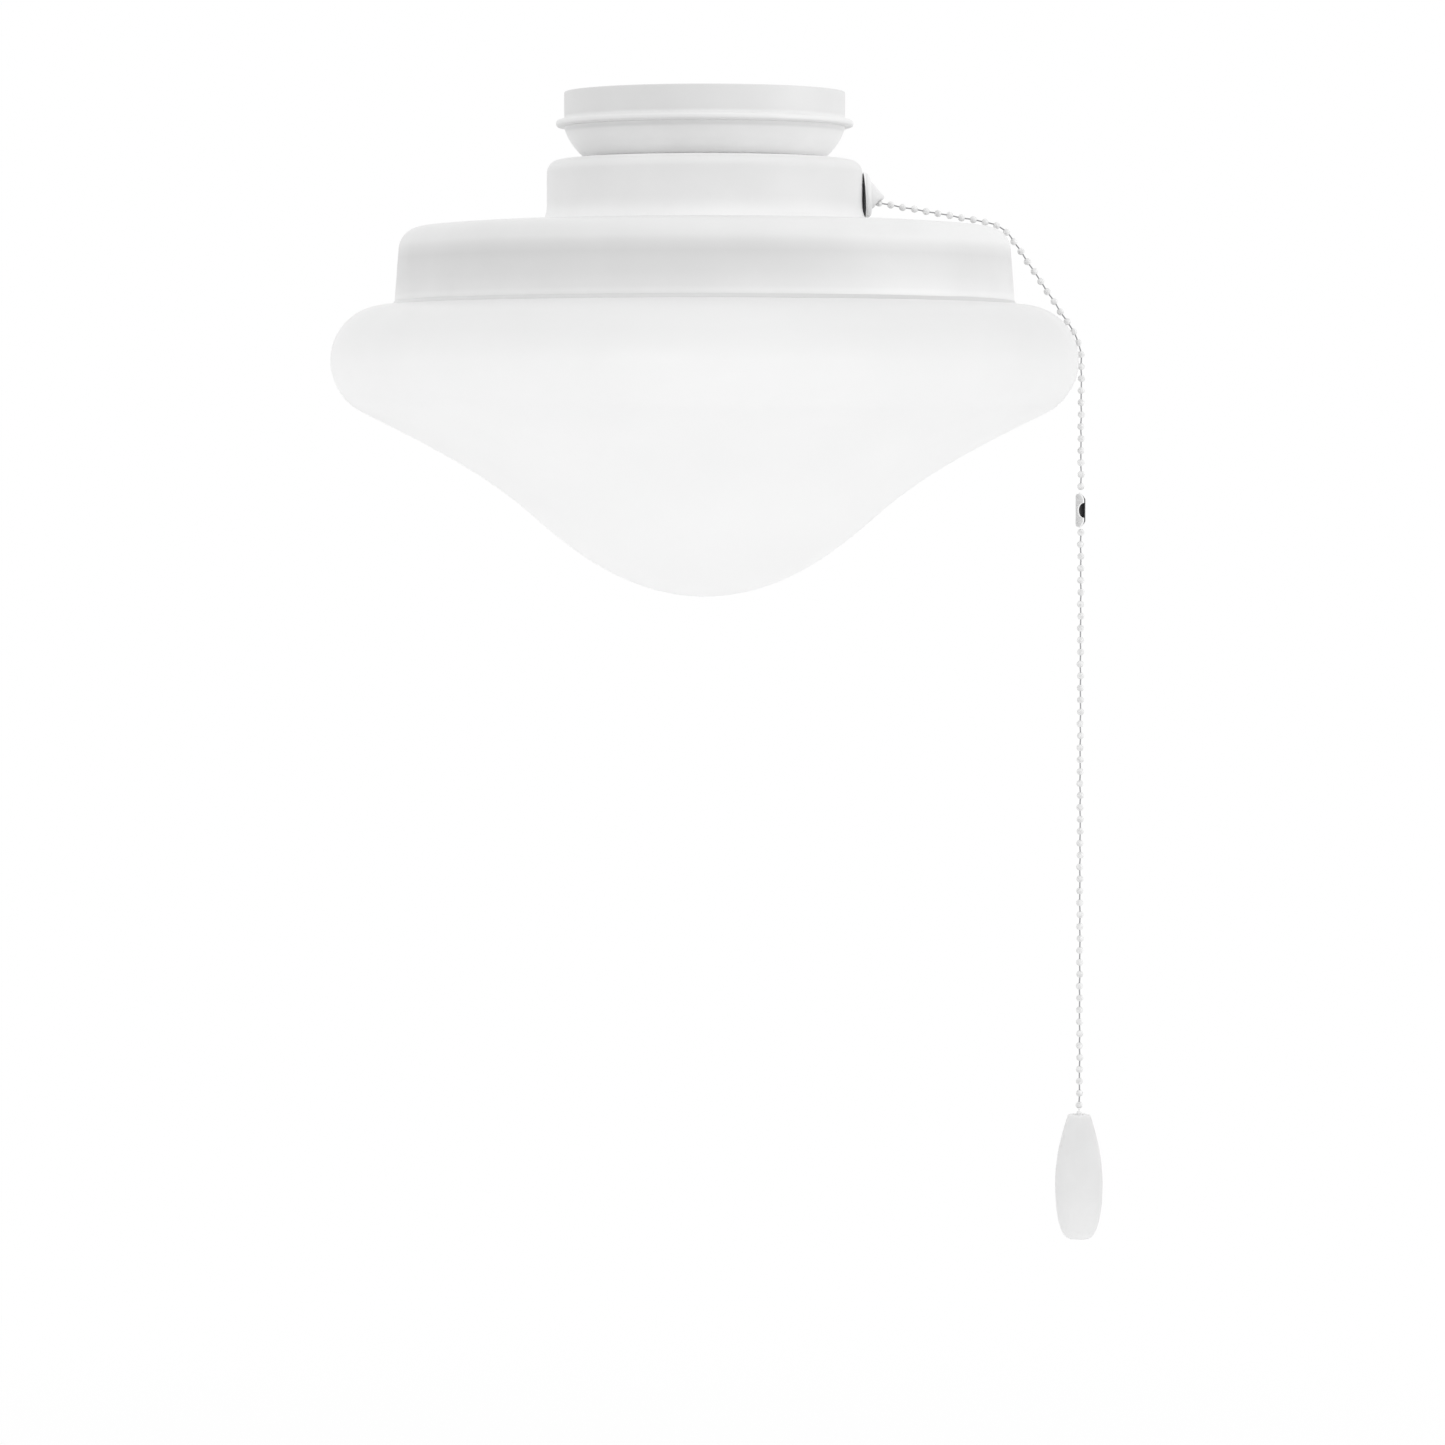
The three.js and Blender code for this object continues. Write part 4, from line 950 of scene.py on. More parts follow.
def makeSwitchCase():
    case = {"length": 0.021, "width": 0.024, "height": 0.019, "edge": 0.0012, "power": 6, "faceGap": 0.0017,
            "turns": 120}
    back = drumRadius - drumWall - fitGap - case["length"]
    front = back + case["length"] - case["faceGap"]
    angles = anglesRound(case["turns"])
    # rounded rectangle by a power sum of cosine and sine, drawn in near both ends
    tall, wide = np.abs(np.cos(angles)) * 2 / case["height"], np.abs(np.sin(angles)) * 2 / case["width"]
    rim = (tall ** case["power"] + wide ** case["power"]) ** (-1 / case["power"])
    ends = arcOutline((0, 0), case["edge"], 90, 0, 5)
    rows = [(a - case["edge"], back + case["edge"] - b) for a, b in ends]
    rows += [(a - case["edge"], front - case["edge"] + b) for a, b in ends[::-1]]
    points = np.array([carried(rim + inset, angles, depth) for inset, depth in rows])
    gridPiece("pull_switch_case", layOut(points), "root", finishes["switch"], "pull_switch", capped=True)
    return front


def makeBushing(front):
    # radius: the crest less the depth times half of one less the wave, one pitch a turn
    tube = {"major": 0.0051, "pitch": 0.00094, "depth": 0.0003, "bore": 0.0042, "boreDepth": 0.009,
            "standOut": 0.0022, "sunk": 0.0003, "plainIn": 0.0002, "chamfer": 0.0004, "endBand": 0.0003,
            "endRound": 0.0001, "boreRound": 0.0002, "rows": 40}
    end = drumRadius + tube["standOut"]
    angles = anglesRound(smallTurns)
    height = np.linspace(front - tube["plainIn"], end - tube["chamfer"], tube["rows"])[:, None]
    radius = tube["major"] - tube["depth"] * (1 - threadWave(height / tube["pitch"] - angles / tau)) / 2
    plain = tube["major"] - tube["plainIn"]
    start = np.array([(nearAxis, front - tube["sunk"]), (plain, front - tube["sunk"])])
    mouth = roundedOutline([
        (plain, end - tube["endBand"], 0),
        (tube["major"] - tube["chamfer"], end, tube["endRound"]),
        (tube["bore"], end, tube["boreRound"]),
        (tube["bore"], end - tube["boreDepth"], 0),
        (nearAxis, end - tube["boreDepth"], 0),
    ], closed=False)
    thread = carried(radius, angles, height)
    points = np.concatenate([turned(start, smallTurns), thread, turned(mouth, smallTurns)])
    gridPiece("pull_switch_bushing", layOut(points), "root", finishes["zinc"], capped=True)


def makeBushingNut():
    # a rounded rectangle, turned
    nut = {"bore": 0.0054, "radius": 0.0064, "thickness": 0.0012, "edge": 0.00025, "notch": 0.00015,
           "notches": 36, "turns": 216}
    low = drumRadius + fitGap
    high = low + nut["thickness"]
    outline = roundedOutline([
        (nut["bore"], low, nut["edge"]),
        (nut["radius"], low, nut["edge"]),
        (nut["radius"], high, nut["edge"]),
        (nut["bore"], high, nut["edge"]),
    ])
    points = turned(outline, nut["turns"])
    # knurl: the outermost rows are drawn in by a cosine of the angle times the notches
    outermost = outline[:, :1] > nut["radius"] - 2 * nut["edge"]
    knurl = outermost * (1 - np.cos(nut["notches"] * anglesRound(nut["turns"]))) / 2
    points[..., :2] *= (1 - knurl * nut["notch"] / nut["radius"])[..., None]
    # its near-black steel is painted shade: it darkens the gap between the drum and the bell's ring
    gridPiece("bushing_nut_knurled", layOut(points), "root", finishes["black"], "bushing_nut", loop=True)


def makeBellWasher():
    # fibre washer under the bell: it thickens towards the foot as the bell leans
    ring = {"bore": 0.0066, "outer": 0.0085, "back": 0.06305, "thin": 0.0002, "thick": 0.001, "edge": 0.0001}
    front = ring["back"] + ring["thick"]
    outline = roundedOutline([
        (ring["bore"], ring["back"], ring["edge"]),
        (ring["outer"], ring["back"], ring["edge"]),
        (ring["outer"], front, ring["edge"]),
        (ring["bore"], front, ring["edge"]),
    ])
    points = layOut(turned(outline, middleTurns))
    # every point's distance off the back is scaled by how far down it lies
    down = np.clip(0.5 - (points[..., 2:] - switchHeight) / (2 * ring["outer"]), 0, 1)
    share = (ring["thin"] + (ring["thick"] - ring["thin"]) * down) / ring["thick"]
    off = (points @ outward - ring["back"])[..., None]
    points += off * (share - 1) * outward
    gridPiece("bell_fibre_washer", points, "root", finishes["switch"], loop=True)


# Route of the bead centres in the upright plane through axis and switch, as in the solids: reach
# from the bell, bend over the pan's shoulder, reach to the glass, bend round its edge, drop

route = {"bend": 0.016, "bendAngle": 57.5, "shoulder": 0.0093, "shoulderRadius": 0.1129, "domeDrop": 0.0015,
         "domeAngle": 6, "rimArc": 0.0219, "mouthRadius": 0.0702, "mouthHeight": -0.0329, "drop": 10.0}
chain = {"bead": 0.00145, "hole": 0.00062, "pitch": 0.00481, "advance": 0.0044, "hidden": 3,
         "groups": (10, 4, 7, 5, 9), "below": 49, "sides": 16}


def touch(bend, aim):
    # where a line at this aim touches the bend's circle
    middle, radius = bend
    return middle + radius * np.array([-math.sin(aim), math.cos(aim)])


def routeStretches():
    # each stretch is its length, start, aim and bend radius; a line that touches two circles is
    # turned off the line of their middles by the arc sine of the radii's difference over the
    # distance between them, and the bell's mouth counts as a circle of no radius
    room = chain["bead"] + fitGap
    tilt = math.radians(route["domeAngle"])
    shoulderHeight = panTop - route["domeDrop"] - route["shoulder"] * math.cos(tilt)
    shoulder = np.array([route["shoulderRadius"], shoulderHeight])
    inset = route["shoulder"] + room - route["bend"]
    upper = (shoulder + towards(route["bendAngle"]) * inset, route["bend"])
    edgeMiddle = np.array([glassRadius - route["rimArc"], panRim - fitGap - route["rimArc"]])
    edge = (edgeMiddle, route["rimArc"] + room)
    mouth = np.array([route["mouthRadius"], route["mouthHeight"]])
    toUpper, toEdge = upper[0] - mouth, edge[0] - upper[0]
    first = math.atan2(toUpper[1], toUpper[0]) + math.asin(upper[1] / np.linalg.norm(toUpper))
    second = math.atan2(toEdge[1], toEdge[0]) + math.asin((edge[1] - upper[1]) / np.linalg.norm(toEdge))
    down = -math.pi / 2
    bendStart, bendEnd = touch(upper, first), touch(upper, second)
    edgeStart, edgeEnd = touch(edge, second), touch(edge, down)
    return [
        (np.linalg.norm(bendStart - mouth), mouth, first, math.inf),
        ((first - second) * upper[1], bendStart, first, upper[1]),
        (np.linalg.norm(edgeStart - bendEnd), bendEnd, second, math.inf),
        ((second - down) * edge[1], edgeStart, second, edge[1]),
        (route["drop"], edgeEnd, down, math.inf),
    ]


def routeAt(along):
    # place and aim at distances along the route; on a bend the aim falls by distance over radius
    along = np.atleast_1d(np.asarray(along, float))
    places = np.zeros((len(along), 3))
    aims = np.zeros(len(along))
    start = 0.0
    stretches = routeStretches()
    for i, (length, origin, aim, radius) in enumerate(stretches):
        here = (along >= start) & (along < start + length) | (along < 0) * (i == 0)
        rest = along[here] - start
        turn = rest / radius
        across = rest if radius == math.inf else 2 * radius * np.sin(turn / 2)
        direction = aim - turn / 2
        reach = origin[0] + across * np.cos(direction)
        places[here] = reach[:, None] * outward + (origin[1] + across * np.sin(direction))[:, None] * upward
        aims[here] = aim - turn
        start += length
    return places, aims


def aimVectors(aims):
    # the cosine of the aim outwards plus its sine upwards
    return np.cos(aims)[:, None] * outward + np.sin(aims)[:, None] * upward


def beadProfile():
    # one ball from back to front: a hole's lip, the sphere, the other lip; distance and radius
    ball, hole = chain["bead"], chain["hole"]
    lip = math.sqrt(ball ** 2 - hole ** 2)
    angles = np.linspace(math.acos(-lip / ball), math.acos(lip / ball), 13)
    sphere = np.stack([ball * np.cos(angles), ball * np.sin(angles)], 1)
    inward = np.array([[0.00008, -0.00005], [0.0002, -0.0001]])
    back = np.array([-lip, hole]) + inward
    front = np.array([lip, hole]) + inward * [-1, 1]
    return np.concatenate([back[::-1], sphere, front])


def beadPlaces(along):
    # balls on the route at distances along it, each a little off the line, and their directions;
    # how far off is two sines of the distance
    off = {"middle": 0.00013, "wave": 0.00009, "waveRate": 530, "ripple": 0.00004, "rippleRate": 1170}
    centres, aims = routeAt(along)
    directions = aimVectors(aims)
    along = np.atleast_1d(along)[:, None]
    wave = off["wave"] * np.sin(along * off["waveRate"])
    ripple = off["ripple"] * np.sin(along * off["rippleRate"])
    return centres - (off["middle"] + wave + ripple) * np.cross(sideways, directions), directions


def beadRun(name, along, body, node, nextAlong=None):
    # balls joined by straight wires; a ball's profile is set square to its own direction, and the
    # last wire ends in the next piece's ball
    wire = {"radius": 0.00028, "start": 0.0012, "stub": 0.00095, "stubShare": 0.5, "end": 0.00125,
            "tip": 0.00118, "tipShare": 0.6}
    profile = beadProfile()
    centres, directions = beadPlaces(along)
    rows, radii, facing, bare = [], [], [], []

    def addRings(centre, direction, distances, widths, bareness):
        rows.extend(centre + distance * direction for distance in distances)
        radii.extend(widths)
        facing.extend([direction] * len(widths))
        bare.extend([bareness] * len(widths))

    thick = wire["radius"]
    addRings(centres[0], directions[0], [-wire["stub"]], [thick * wire["stubShare"]], 0.0)
    for i, (centre, direction) in enumerate(zip(centres, directions)):
        if i:
            addRings(centre, direction, [-wire["start"]], [thick], 1.0)
        addRings(centre, direction, profile[:, 0], profile[:, 1], 0.0)
        if i < len(centres) - 1 or nextAlong is not None:
            addRings(centre, direction, [wire["start"]], [thick], 1.0)
    if nextAlong is not None:
        ahead, aims = beadPlaces(nextAlong)
        addRings(ahead[0], aims[0], [-wire["end"], -wire["tip"]], [thick, thick * wire["tipShare"]], 1.0)
    else:
        addRings(centres[-1], directions[-1], [wire["stub"]], [thick * wire["stubShare"]], 0.0)
    points = tubeAlong(np.array(rows), np.array(facing), np.array(radii), chain["sides"])
    piece = gridPiece(name, points, body, finishes["beads"], node, capped=True, sharp=50)
    writeLayer(piece, "bareWire", np.append(np.repeat(bare, chain["sides"]), [bare[0], bare[-1]]))


def beadDistance(k):
    # ball 0 stands an advance along the route, the others whole pitches from it
    return chain["advance"] + k * chain["pitch"]


def makeChain():
    # the balls are counted off along the route, group by group, and anew below the clasp
    upper, firstBend, slope, edgeBend, drop = chain["groups"]
    singles = [(f"chain_bead_{i + 1}", f"chain_bead_{i + 1}", 1) for i in range(firstBend + edgeBend)]
    groups = [("chain_run_upper", "chain_run_upper", upper), *singles[:firstBend],
              ("chain_run_slope", "chain_run_slope", slope), *singles[firstBend:],
              ("chain_edge_bead", "chain_edge", 1), ("chain_pivot_bead", "chain_pivot", 1),
              ("chain_drop_upper", "chain_drop", drop)]
    k = -chain["hidden"]
    for node, body, count in groups:
        along = beadDistance(np.arange(k, k + count))
        k += count
        beadRun(node + "_balls", along, body, node, None if node == "chain_drop_upper" else beadDistance(k))
    claspStart = beadDistance(k - 1) + chain["bead"] + clasp["topGap"]
    firstBelow = claspStart + clasp["length"] + clasp["footGap"] + chain["bead"]
    lower = firstBelow + np.arange(chain["below"]) * chain["pitch"]
    beadRun("chain_drop_lower_balls", lower, "chain_drop", "chain_drop_lower")
    return claspStart, lower[-1]


# Clasp: rolled sheet open along a slit, ends drawn in, with a half-round window in the near lip

clasp = {"length": 0.0132, "radius": 0.002, "wall": 0.0003, "endRadius": 0.0015, "taper": 0.001,
         "topGap": 0.0015, "footGap": 0.0008, "lip": 0.00112, "lipEnd": -0.0004, "lipTaper": 0.0026,
         "opening": 0.0009, "farLimit": 0.998, "windowHalf": 0.003, "windowReach": -0.0009, "rim": 0.0002,
         "rimWidth": 0.00075, "prong": 0.0006, "rows": 108, "columns": 56, "crowding": 1.6}


def quarterSine(share):
    # the sine of the share of a right angle
    return np.sin(np.clip(share, 0, 1) * math.pi / 2)


def makeClasp(start):
    # two layers of one sheet: at each height and sweep angle, a radius round the chain's line
    top = routeAt(start)[0][0]
    rows, columns = clasp["rows"], clasp["columns"]
    t = np.linspace(0, 1, rows)
    drop = t * clasp["length"]
    fromEnd = np.minimum(drop, clasp["length"] - drop)
    # radius swells from the end over the taper by a quarter sine
    swell = quarterSine(fromEnd / clasp["taper"])
    radius = clasp["endRadius"] + (clasp["radius"] - clasp["endRadius"]) * swell
    # the near lip reaches out less towards both ends, by a quarter sine as well
    lipReach = clasp["lipEnd"] + (clasp["lip"] - clasp["lipEnd"]) * quarterSine(fromEnd / clasp["lipTaper"])
    across = np.clip(1 - ((drop - clasp["length"] / 2) / clasp["windowHalf"]) ** 2, 0, 1)
    # the window is an ellipse in side view: the lip's reach falls to its depth at mid length
    edge = lipReach - (lipReach - clasp["windowReach"]) * np.sqrt(across)
    near = -np.arccos(np.clip(edge / radius, -1, 1))
    # the far lip stands a little further out than the near one, all the way along
    far = -tau + np.arccos(np.clip((lipReach + clasp["opening"]) / radius, -1, clasp["farLimit"]))
    # columns stand closer by the near lip, where a rounded rim is rolled outwards
    share = np.linspace(0, 1, columns) ** clasp["crowding"]
    sweep = near[:, None] + (far - near)[:, None] * share
    fromLip = np.abs(near[:, None] - sweep) * radius[:, None]
    byLip = np.cos(np.clip(fromLip / clasp["rimWidth"], 0, 1) * math.pi / 2)
    rim = clasp["rim"] * byLip * swell[:, None]
    # both ends run out into a short prong along the lip
    runOut = ((2 * t - 1) * np.clip(1 - fromEnd / clasp["lipTaper"], 0, 1))[:, None]
    height = (top[2] - drop[:, None] - clasp["prong"] * byLip * runOut)[..., None]
    middle = top - top[2] * upward
    layers = []
    for r in (radius[:, None] + rim, radius[:, None] - clasp["wall"]):
        sheet = (r * np.cos(sweep))[..., None] * outward + (r * np.sin(sweep))[..., None] * sideways
        layers.append(sheet + height * upward + middle)
    points = np.concatenate([layers[0], layers[1][:, ::-1]], 1)
    piece = sheetPiece("chain_clasp_rolled", points, "chain_drop", finishes["clasp"], "chain_clasp")
    # the inner layer is the second half of each row's columns, which the material darkens as painted shade;
    # the rim layer carries the painted highlight along the lip
    writeLayer(piece, "inside", np.tile(np.repeat([0.0, 1.0], columns), rows))
    writeLayer(piece, "rimHighlight", np.concatenate([byLip, 0 * byLip], 1).ravel())


# Bell over the nut: a ring with a thin lip at its back, and a hollow cone that hangs a little
# low and is cut open underneath for the chain

def makeBell():
    bell = {"back": 0.0638, "ring": 0.0027, "radius": 0.009, "lip": 0.0005, "groove": 0.00014,
            "grooveRound": 0.00005, "face": 0.0062, "faceReach": 0.0019, "sideReach": 0.001, "nut": 0.0067,
            "cavityEnd": 0.06515, "bushing": 0.0054, "edge": 0.0002, "mouthEdge": 0.0003, "cone": 0.006,
            "coneAngle": 46, "length": 0.0054, "tip": 0.0011, "wall": 0.0007, "axis": 0.0001,
            "lean": math.tan(math.radians(3)), "sag": 0.0008}
    slot = {"half": 0.0019, "middle": -0.00035, "depth": 0.004, "back": -0.0034, "front": 0.004}
    back, radius = bell["back"], bell["radius"]
    front = back + bell["ring"]
    tip = front + bell["length"]
    lipEnd = back + bell["lip"]
    grooveEnd = lipEnd + 2 * bell["groove"]
    tipArc = arcOutline((0, tip - bell["tip"]), bell["tip"], 89, bell["coneAngle"], 8)
    side = curveOutline((bell["face"], front), 0, bell["faceReach"],
                        (radius, grooveEnd), -90, bell["sideReach"], 14)
    hollow = roundedOutline([
        (radius, grooveEnd, 0),
        (radius - bell["groove"], lipEnd + bell["groove"], bell["grooveRound"]),
        (radius, lipEnd, bell["grooveRound"]),
        (radius, back, bell["edge"]),
        (bell["nut"], back, bell["edge"]),
        (bell["nut"], bell["cavityEnd"], bell["edge"]),
        (bell["bushing"], bell["cavityEnd"], bell["edge"]),
        (bell["bushing"], front - bell["wall"] / 2, bell["mouthEdge"]),
        (bell["tip"] - bell["wall"], tip - 2 * bell["tip"], bell["edge"]),
        (bell["axis"], tip - bell["tip"] - bell["wall"], 0),
    ], closed=False, steps=8)
    outline = np.concatenate([tipArc, [(bell["cone"], front)], side, hollow[1:]])
    points = layOut(turned(outline, middleTurns))
    # the ring's faces lean out at the foot, and the cone sinks in step with its distance out
    above = points[..., 2:] - switchHeight
    reach = np.clip(points @ outward - front, 0, None)[..., None] / bell["length"]
    points += -above * bell["lean"] * outward - reach * bell["sag"] * upward
    piece = gridPiece("chain_bell_spun", points, "root", finishes["bell"], "chain_bell", capped=True)
    # the slot is a channel along the chain's first reach, round above and open below, wider
    # towards the viewer
    _, start, slope, _ = routeStretches()[0]
    direction = math.cos(slope) * outward + math.sin(slope) * upward
    upright = np.cross(direction, sideways)
    roof = arcOutline((slot["middle"], 0), slot["half"], 180, 0, 20)
    channel = np.concatenate([[(roof[0][0], -slot["depth"])], roof, [(roof[-1][0], -slot["depth"])]])
    section = channel[:, :1] * sideways + channel[:, 1:] * upright
    middle = start[0] * outward + start[1] * upward
    reaches = np.array([slot["back"], slot["front"]])[:, None, None]
    cutAway(piece, middle + reaches * direction + section)


def cutAway(piece, points):
    # the volume inside the given tube is taken out of the piece for good
    cutter = gridPiece("cutter", points, "root", finishes["bell"], capped=True)
    cut = piece.modifiers.new("cut", "BOOLEAN")
    cut.object = cutter
    cut.solver = "EXACT"
    view = bpy.context.evaluated_depsgraph_get()
    mesh = bpy.data.meshes.new_from_object(piece.evaluated_get(view))
    piece.modifiers.clear()
    piece.data = mesh
    mesh.set_sharp_from_angle(angle=math.radians(35))
    bpy.data.objects.remove(cutter)


# Fob: turned drop with a dimple, and the crimped ferrule in it

ferrule = {"length": 0.002, "dimple": 0.0022, "dimpleDepth": 0.0014, "dimpleRound": 0.0009,
           "dimpleEdge": 0.0005, "radius": 0.0011, "edge": 0.0002, "stub": 0.0003, "stubRise": 0.0001,
           "stubFoot": 0.0006, "neck": 0.0007, "neckDrop": 0.0007, "shoulderDrop": 0.0012,
           "shoulderRound": 0.0003, "foot": 0.0005, "pinchFrom": 0.0008, "pinch": 0.16, "crimps": 4,
           "sharpness": 6, "turns": 48}


def makeFob(ferruleTop, middle):
    # two cubic curves that meet upright at the widest place, and a rounded dimple on top, turned
    fob = {"top": 0.0047, "topEdge": 0.0002, "topRound": 0.0008, "topAngle": -72, "topShare": 0.19,
           "radius": 0.00957, "widestShare": 0.56, "foot": 0.004, "footAngle": 195, "footShare": 0.08,
           "lowerShare": 0.22, "axis": 0.0001, "dish": 0.0001}
    top = ferruleTop - ferrule["length"]
    tall = topOf("fob") - footOf("fob")
    foot = top - tall
    dimple = top - ferrule["dimpleDepth"]
    widest = (fob["radius"], top - tall * fob["widestShare"])
    shoulder = (fob["top"], top - fob["topRound"])
    reach = fob["topShare"] * tall
    upper = curveOutline(shoulder, fob["topAngle"], reach, widest, -90, reach, 28)
    lower = curveOutline(widest, -90, fob["lowerShare"] * tall, (fob["foot"], foot), fob["footAngle"],
                         fob["footShare"] * tall, 28)
    cap = roundedOutline([
        (fob["axis"], dimple, 0),
        (ferrule["dimple"], dimple, ferrule["dimpleRound"]),
        (ferrule["dimple"], top, ferrule["dimpleEdge"]),
        (fob["top"] - fob["topEdge"], top, fob["topRound"]),
        shoulder,
    ], closed=False, steps=8)
    outline = np.concatenate([cap[:-1], upper, lower[1:], [(fob["axis"], foot + fob["dish"])]])
    gridPiece("fob_turned", turned(outline, middleTurns) + middle, "fob", finishes["fob"], "fob", capped=True)


def makeFerrule(top, middle):
    # a rounded outline, turned, with its side drawn in at the crimps
    low = top - ferrule["length"] - ferrule["dimpleDepth"] + fitGap
    outline = roundedOutline([
        (nearAxis, top + ferrule["stubRise"], 0),
        (ferrule["stub"], top + ferrule["stubRise"], 0),
        (ferrule["stub"], top - ferrule["stubFoot"], 0),
        (ferrule["neck"], top - ferrule["neckDrop"], ferrule["edge"]),
        (ferrule["radius"], top - ferrule["shoulderDrop"], ferrule["shoulderRound"]),
        (ferrule["radius"], low, ferrule["edge"]),
        (ferrule["foot"], low, 0),
    ], closed=False)
    points = turned(outline, ferrule["turns"])
    # crimps: the side is drawn in by a power of the cosine of half their number times the angle
    crimp = np.cos(ferrule["crimps"] / 2 * anglesRound(ferrule["turns"])) ** ferrule["sharpness"]
    pinch = (outline[:, :1] > ferrule["pinchFrom"]) * crimp * ferrule["pinch"]
    points[..., :2] *= (1 - pinch)[..., None]
    gridPiece("fob_ferrule_crimped", points + middle, "chain_drop", finishes["ferrule"], "fob_ferrule",
              capped=True)


print("switch, bell, chain and fob")
makeBushing(makeSwitchCase())
makeBushingNut()
makeBellWasher()
makeBell()
claspStart, lastBead = makeChain()
makeClasp(claspStart)
lastCentre = routeAt(lastBead)[0][0]
underChain = lastCentre - lastCentre[2] * upward
ferruleTop = lastCentre[2] - chain["bead"] - fitGap
makeFob(ferruleTop, underChain)
makeFerrule(ferruleTop, underChain)


# Studio

def aim(thing, place, target):
    # the -Z of the thing looks at the target
    thing.location = place
    thing.rotation_mode = "QUATERNION"
    thing.rotation_quaternion = (Vector(target) - Vector(place)).to_track_quat("-Z", "Y")


def makeCamera():
    # the photograph's 1445 pixels show 0.4 mm each at the axis
    view = {"distance": 2.4, "pixel": 0.0004, "side": 1445, "axisColumn": 704.7, "zeroRow": 121.0,
            "horizonRow": 460, "scaleRow": 400}
    half = view["side"] / 2
    across = (half - view["axisColumn"]) * view["pixel"]
    height = (view["zeroRow"] - view["horizonRow"]) * view["pixel"]
    middle = (view["zeroRow"] - half) * view["pixel"]
    data = bpy.data.cameras.new("photo view")
    camera = bpy.data.objects.new("photo view", data)
    bpy.context.scene.collection.objects.link(camera)
    aim(camera, (across, -view["distance"], height), (across, 0, middle))
    # the lens gives that scale at the pan's level, which is nearer than the picture's middle
    tilt = math.atan2(height - middle, view["distance"])
    above = (view["horizonRow"] - view["scaleRow"]) * view["pixel"]
    away = view["distance"] * math.cos(tilt) - above * math.sin(tilt)
    data.lens = data.sensor_width * away / (view["side"] * view["pixel"])
    data.clip_end = 50
    bpy.context.scene.camera = camera


def makeLight(name, place, size, power, target=(0, 0, -0.12), skips=(), only=()):
    data = bpy.data.lights.new(name, "AREA")
    data.shape = "DISK"
    data.size = size
    data.energy = power
    light = bpy.data.objects.new(name, data)
    bpy.context.scene.collection.objects.link(light)
    aim(light, place, target)
    if skips or only:
        # the lamp lights all pieces but the ones it skips, or none but its own
        lit = bpy.data.collections.new(name + " lights")
        light.light_linking.receiver_collection = lit
        for piece in [o for o in bpy.data.objects if o.type == "MESH"]:
            if piece.name in only or not only and piece.name not in skips:
                lit.objects.link(piece)


def addSeen(nodes, links):
    # 1 for what the camera sees straight, in a gloss or through glass, 0 for light on its way
    path = nodes.new("ShaderNodeLightPath")
    seen = path.outputs["Is Camera Ray"]
    for kind in ("Is Glossy Ray", "Is Transmission Ray"):
        either = nodes.new("ShaderNodeMath")
        either.operation = "MAXIMUM"
        links.new(seen, either.inputs[0])
        links.new(path.outputs[kind], either.inputs[1])
        seen = either.outputs[0]
    return seen


def makeWorld(strength=0.975):
    # white where it is seen, a little softer as a light
    world = bpy.data.worlds.new("studio")
    bpy.context.scene.world = world
    world.use_nodes = True
    nodes, links = world.node_tree.nodes, world.node_tree.links
    level = nodes.new("ShaderNodeMapRange")
    level.inputs["To Min"].default_value = strength
    level.inputs["To Max"].default_value = 1.0
    links.new(addSeen(nodes, links), level.inputs["Value"])
    background = nodes["Background"]
    background.inputs["Color"].default_value = (1, 1, 1, 1)
    links.new(level.outputs["Result"], background.inputs["Strength"])


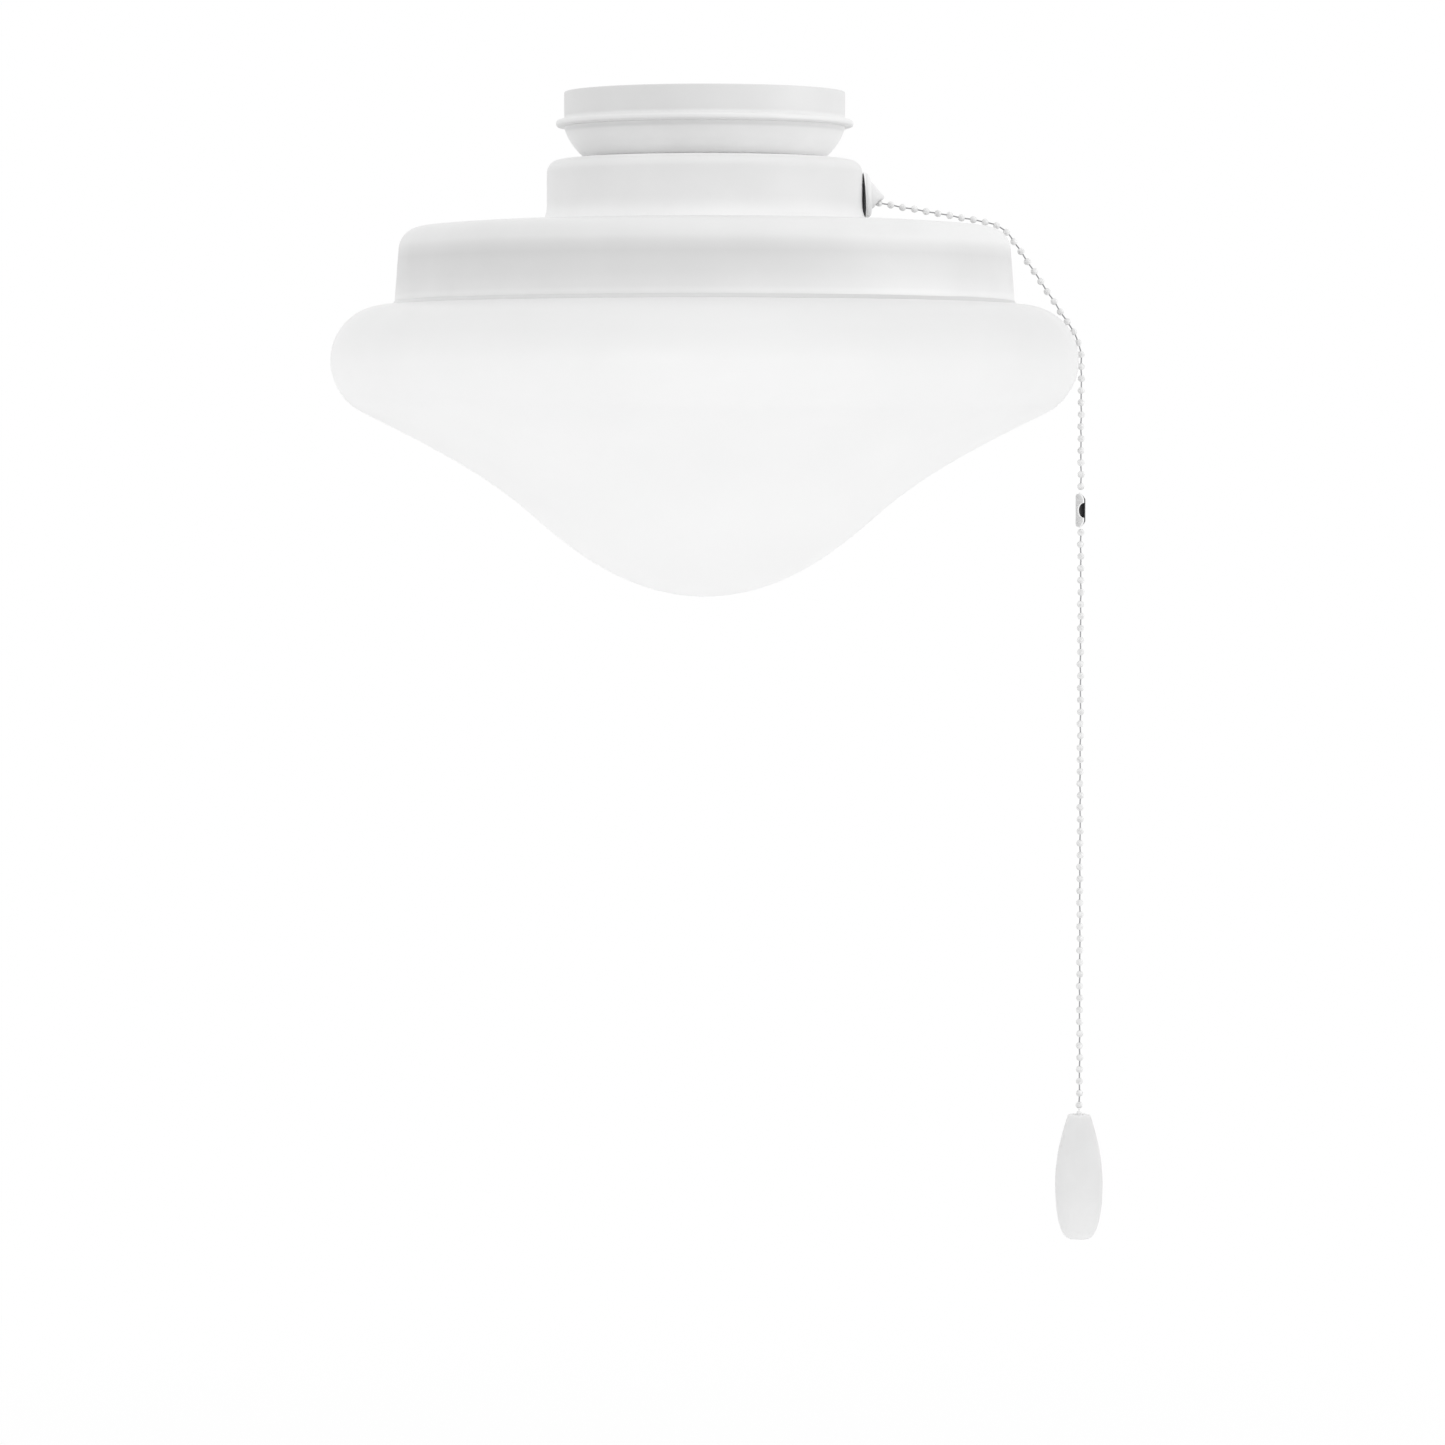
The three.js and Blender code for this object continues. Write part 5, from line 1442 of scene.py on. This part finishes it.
def makeFloor():
    # pale floor under the fob: it takes the shadow near the object and fades into the white
    floor = {"level": cadLow.z - 0.16, "half": 14.0, "near": 0.4, "far": 1.15, "keep": 0.3}
    mesh = bpy.data.meshes.new("studio_floor")
    half, level = floor["half"], floor["level"]
    mesh.from_pydata([(-half, -half, level), (half, -half, level), (half, half, level), (-half, half, level)],
                     [], [(0, 1, 2, 3)])
    material = bpy.data.materials.new("studio floor")
    material.use_nodes = True
    nodes, links = material.node_tree.nodes, material.node_tree.links
    shader = nodes["Principled BSDF"]
    shader.inputs["Base Color"].default_value = (0.9, 0.9, 0.9, 1)
    shader.inputs["Roughness"].default_value = 0.8
    glow = nodes.new("ShaderNodeEmission")
    where = nodes.new("ShaderNodeTexCoord")
    length = nodes.new("ShaderNodeVectorMath")
    length.operation = "LENGTH"
    fade = nodes.new("ShaderNodeMapRange")
    fade.interpolation_type = "SMOOTHSTEP"
    fade.inputs["From Min"].default_value = floor["near"]
    fade.inputs["From Max"].default_value = floor["far"]
    fade.inputs["To Min"].default_value = 1 - floor["keep"]
    fade.inputs["To Max"].default_value = 1.0
    white = nodes.new("ShaderNodeMath")
    white.operation = "MULTIPLY"
    mixGlow = nodes.new("ShaderNodeMixShader")
    below = nodes.new("ShaderNodeNewGeometry")
    clear = nodes.new("ShaderNodeBsdfTransparent")
    mixClear = nodes.new("ShaderNodeMixShader")
    links.new(where.outputs["Object"], length.inputs[0])
    links.new(length.outputs["Value"], fade.inputs["Value"])
    links.new(fade.outputs["Result"], white.inputs[0])
    links.new(addSeen(nodes, links), white.inputs[1])
    links.new(white.outputs[0], mixGlow.inputs["Fac"])
    links.new(shader.outputs[0], mixGlow.inputs[1])
    links.new(glow.outputs[0], mixGlow.inputs[2])
    links.new(below.outputs["Backfacing"], mixClear.inputs["Fac"])
    links.new(mixGlow.outputs[0], mixClear.inputs[1])
    links.new(clear.outputs[0], mixClear.inputs[2])
    links.new(mixClear.outputs[0], nodes["Material Output"].inputs["Surface"])
    mesh.materials.append(material)
    piece = bpy.data.objects.new("studio_floor", mesh)
    bpy.context.scene.collection.objects.link(piece)


print("studio")
makeCamera()
makeWorld()
makeFloor()
makeLight("right softbox", (2.4, -0.9, 0.1), 2.0, 5.5, skips=("glass_bowl_shell", "fob_turned"))
makeLight("far right softbox", (2.45, -0.5, 0.1), 2.0, 6,
          skips=("glass_bowl_shell", "fob_turned", "switch_housing_shell"))
makeLight("top softbox", (0.2, -0.5, 1.7), 2.0, 4)
makeLight("low softbox", (-0.4, -1.8, -0.2), 0.7, 1.4, only=("glass_bowl_shell",))
bpy.context.scene.view_settings.view_transform = "Standard"
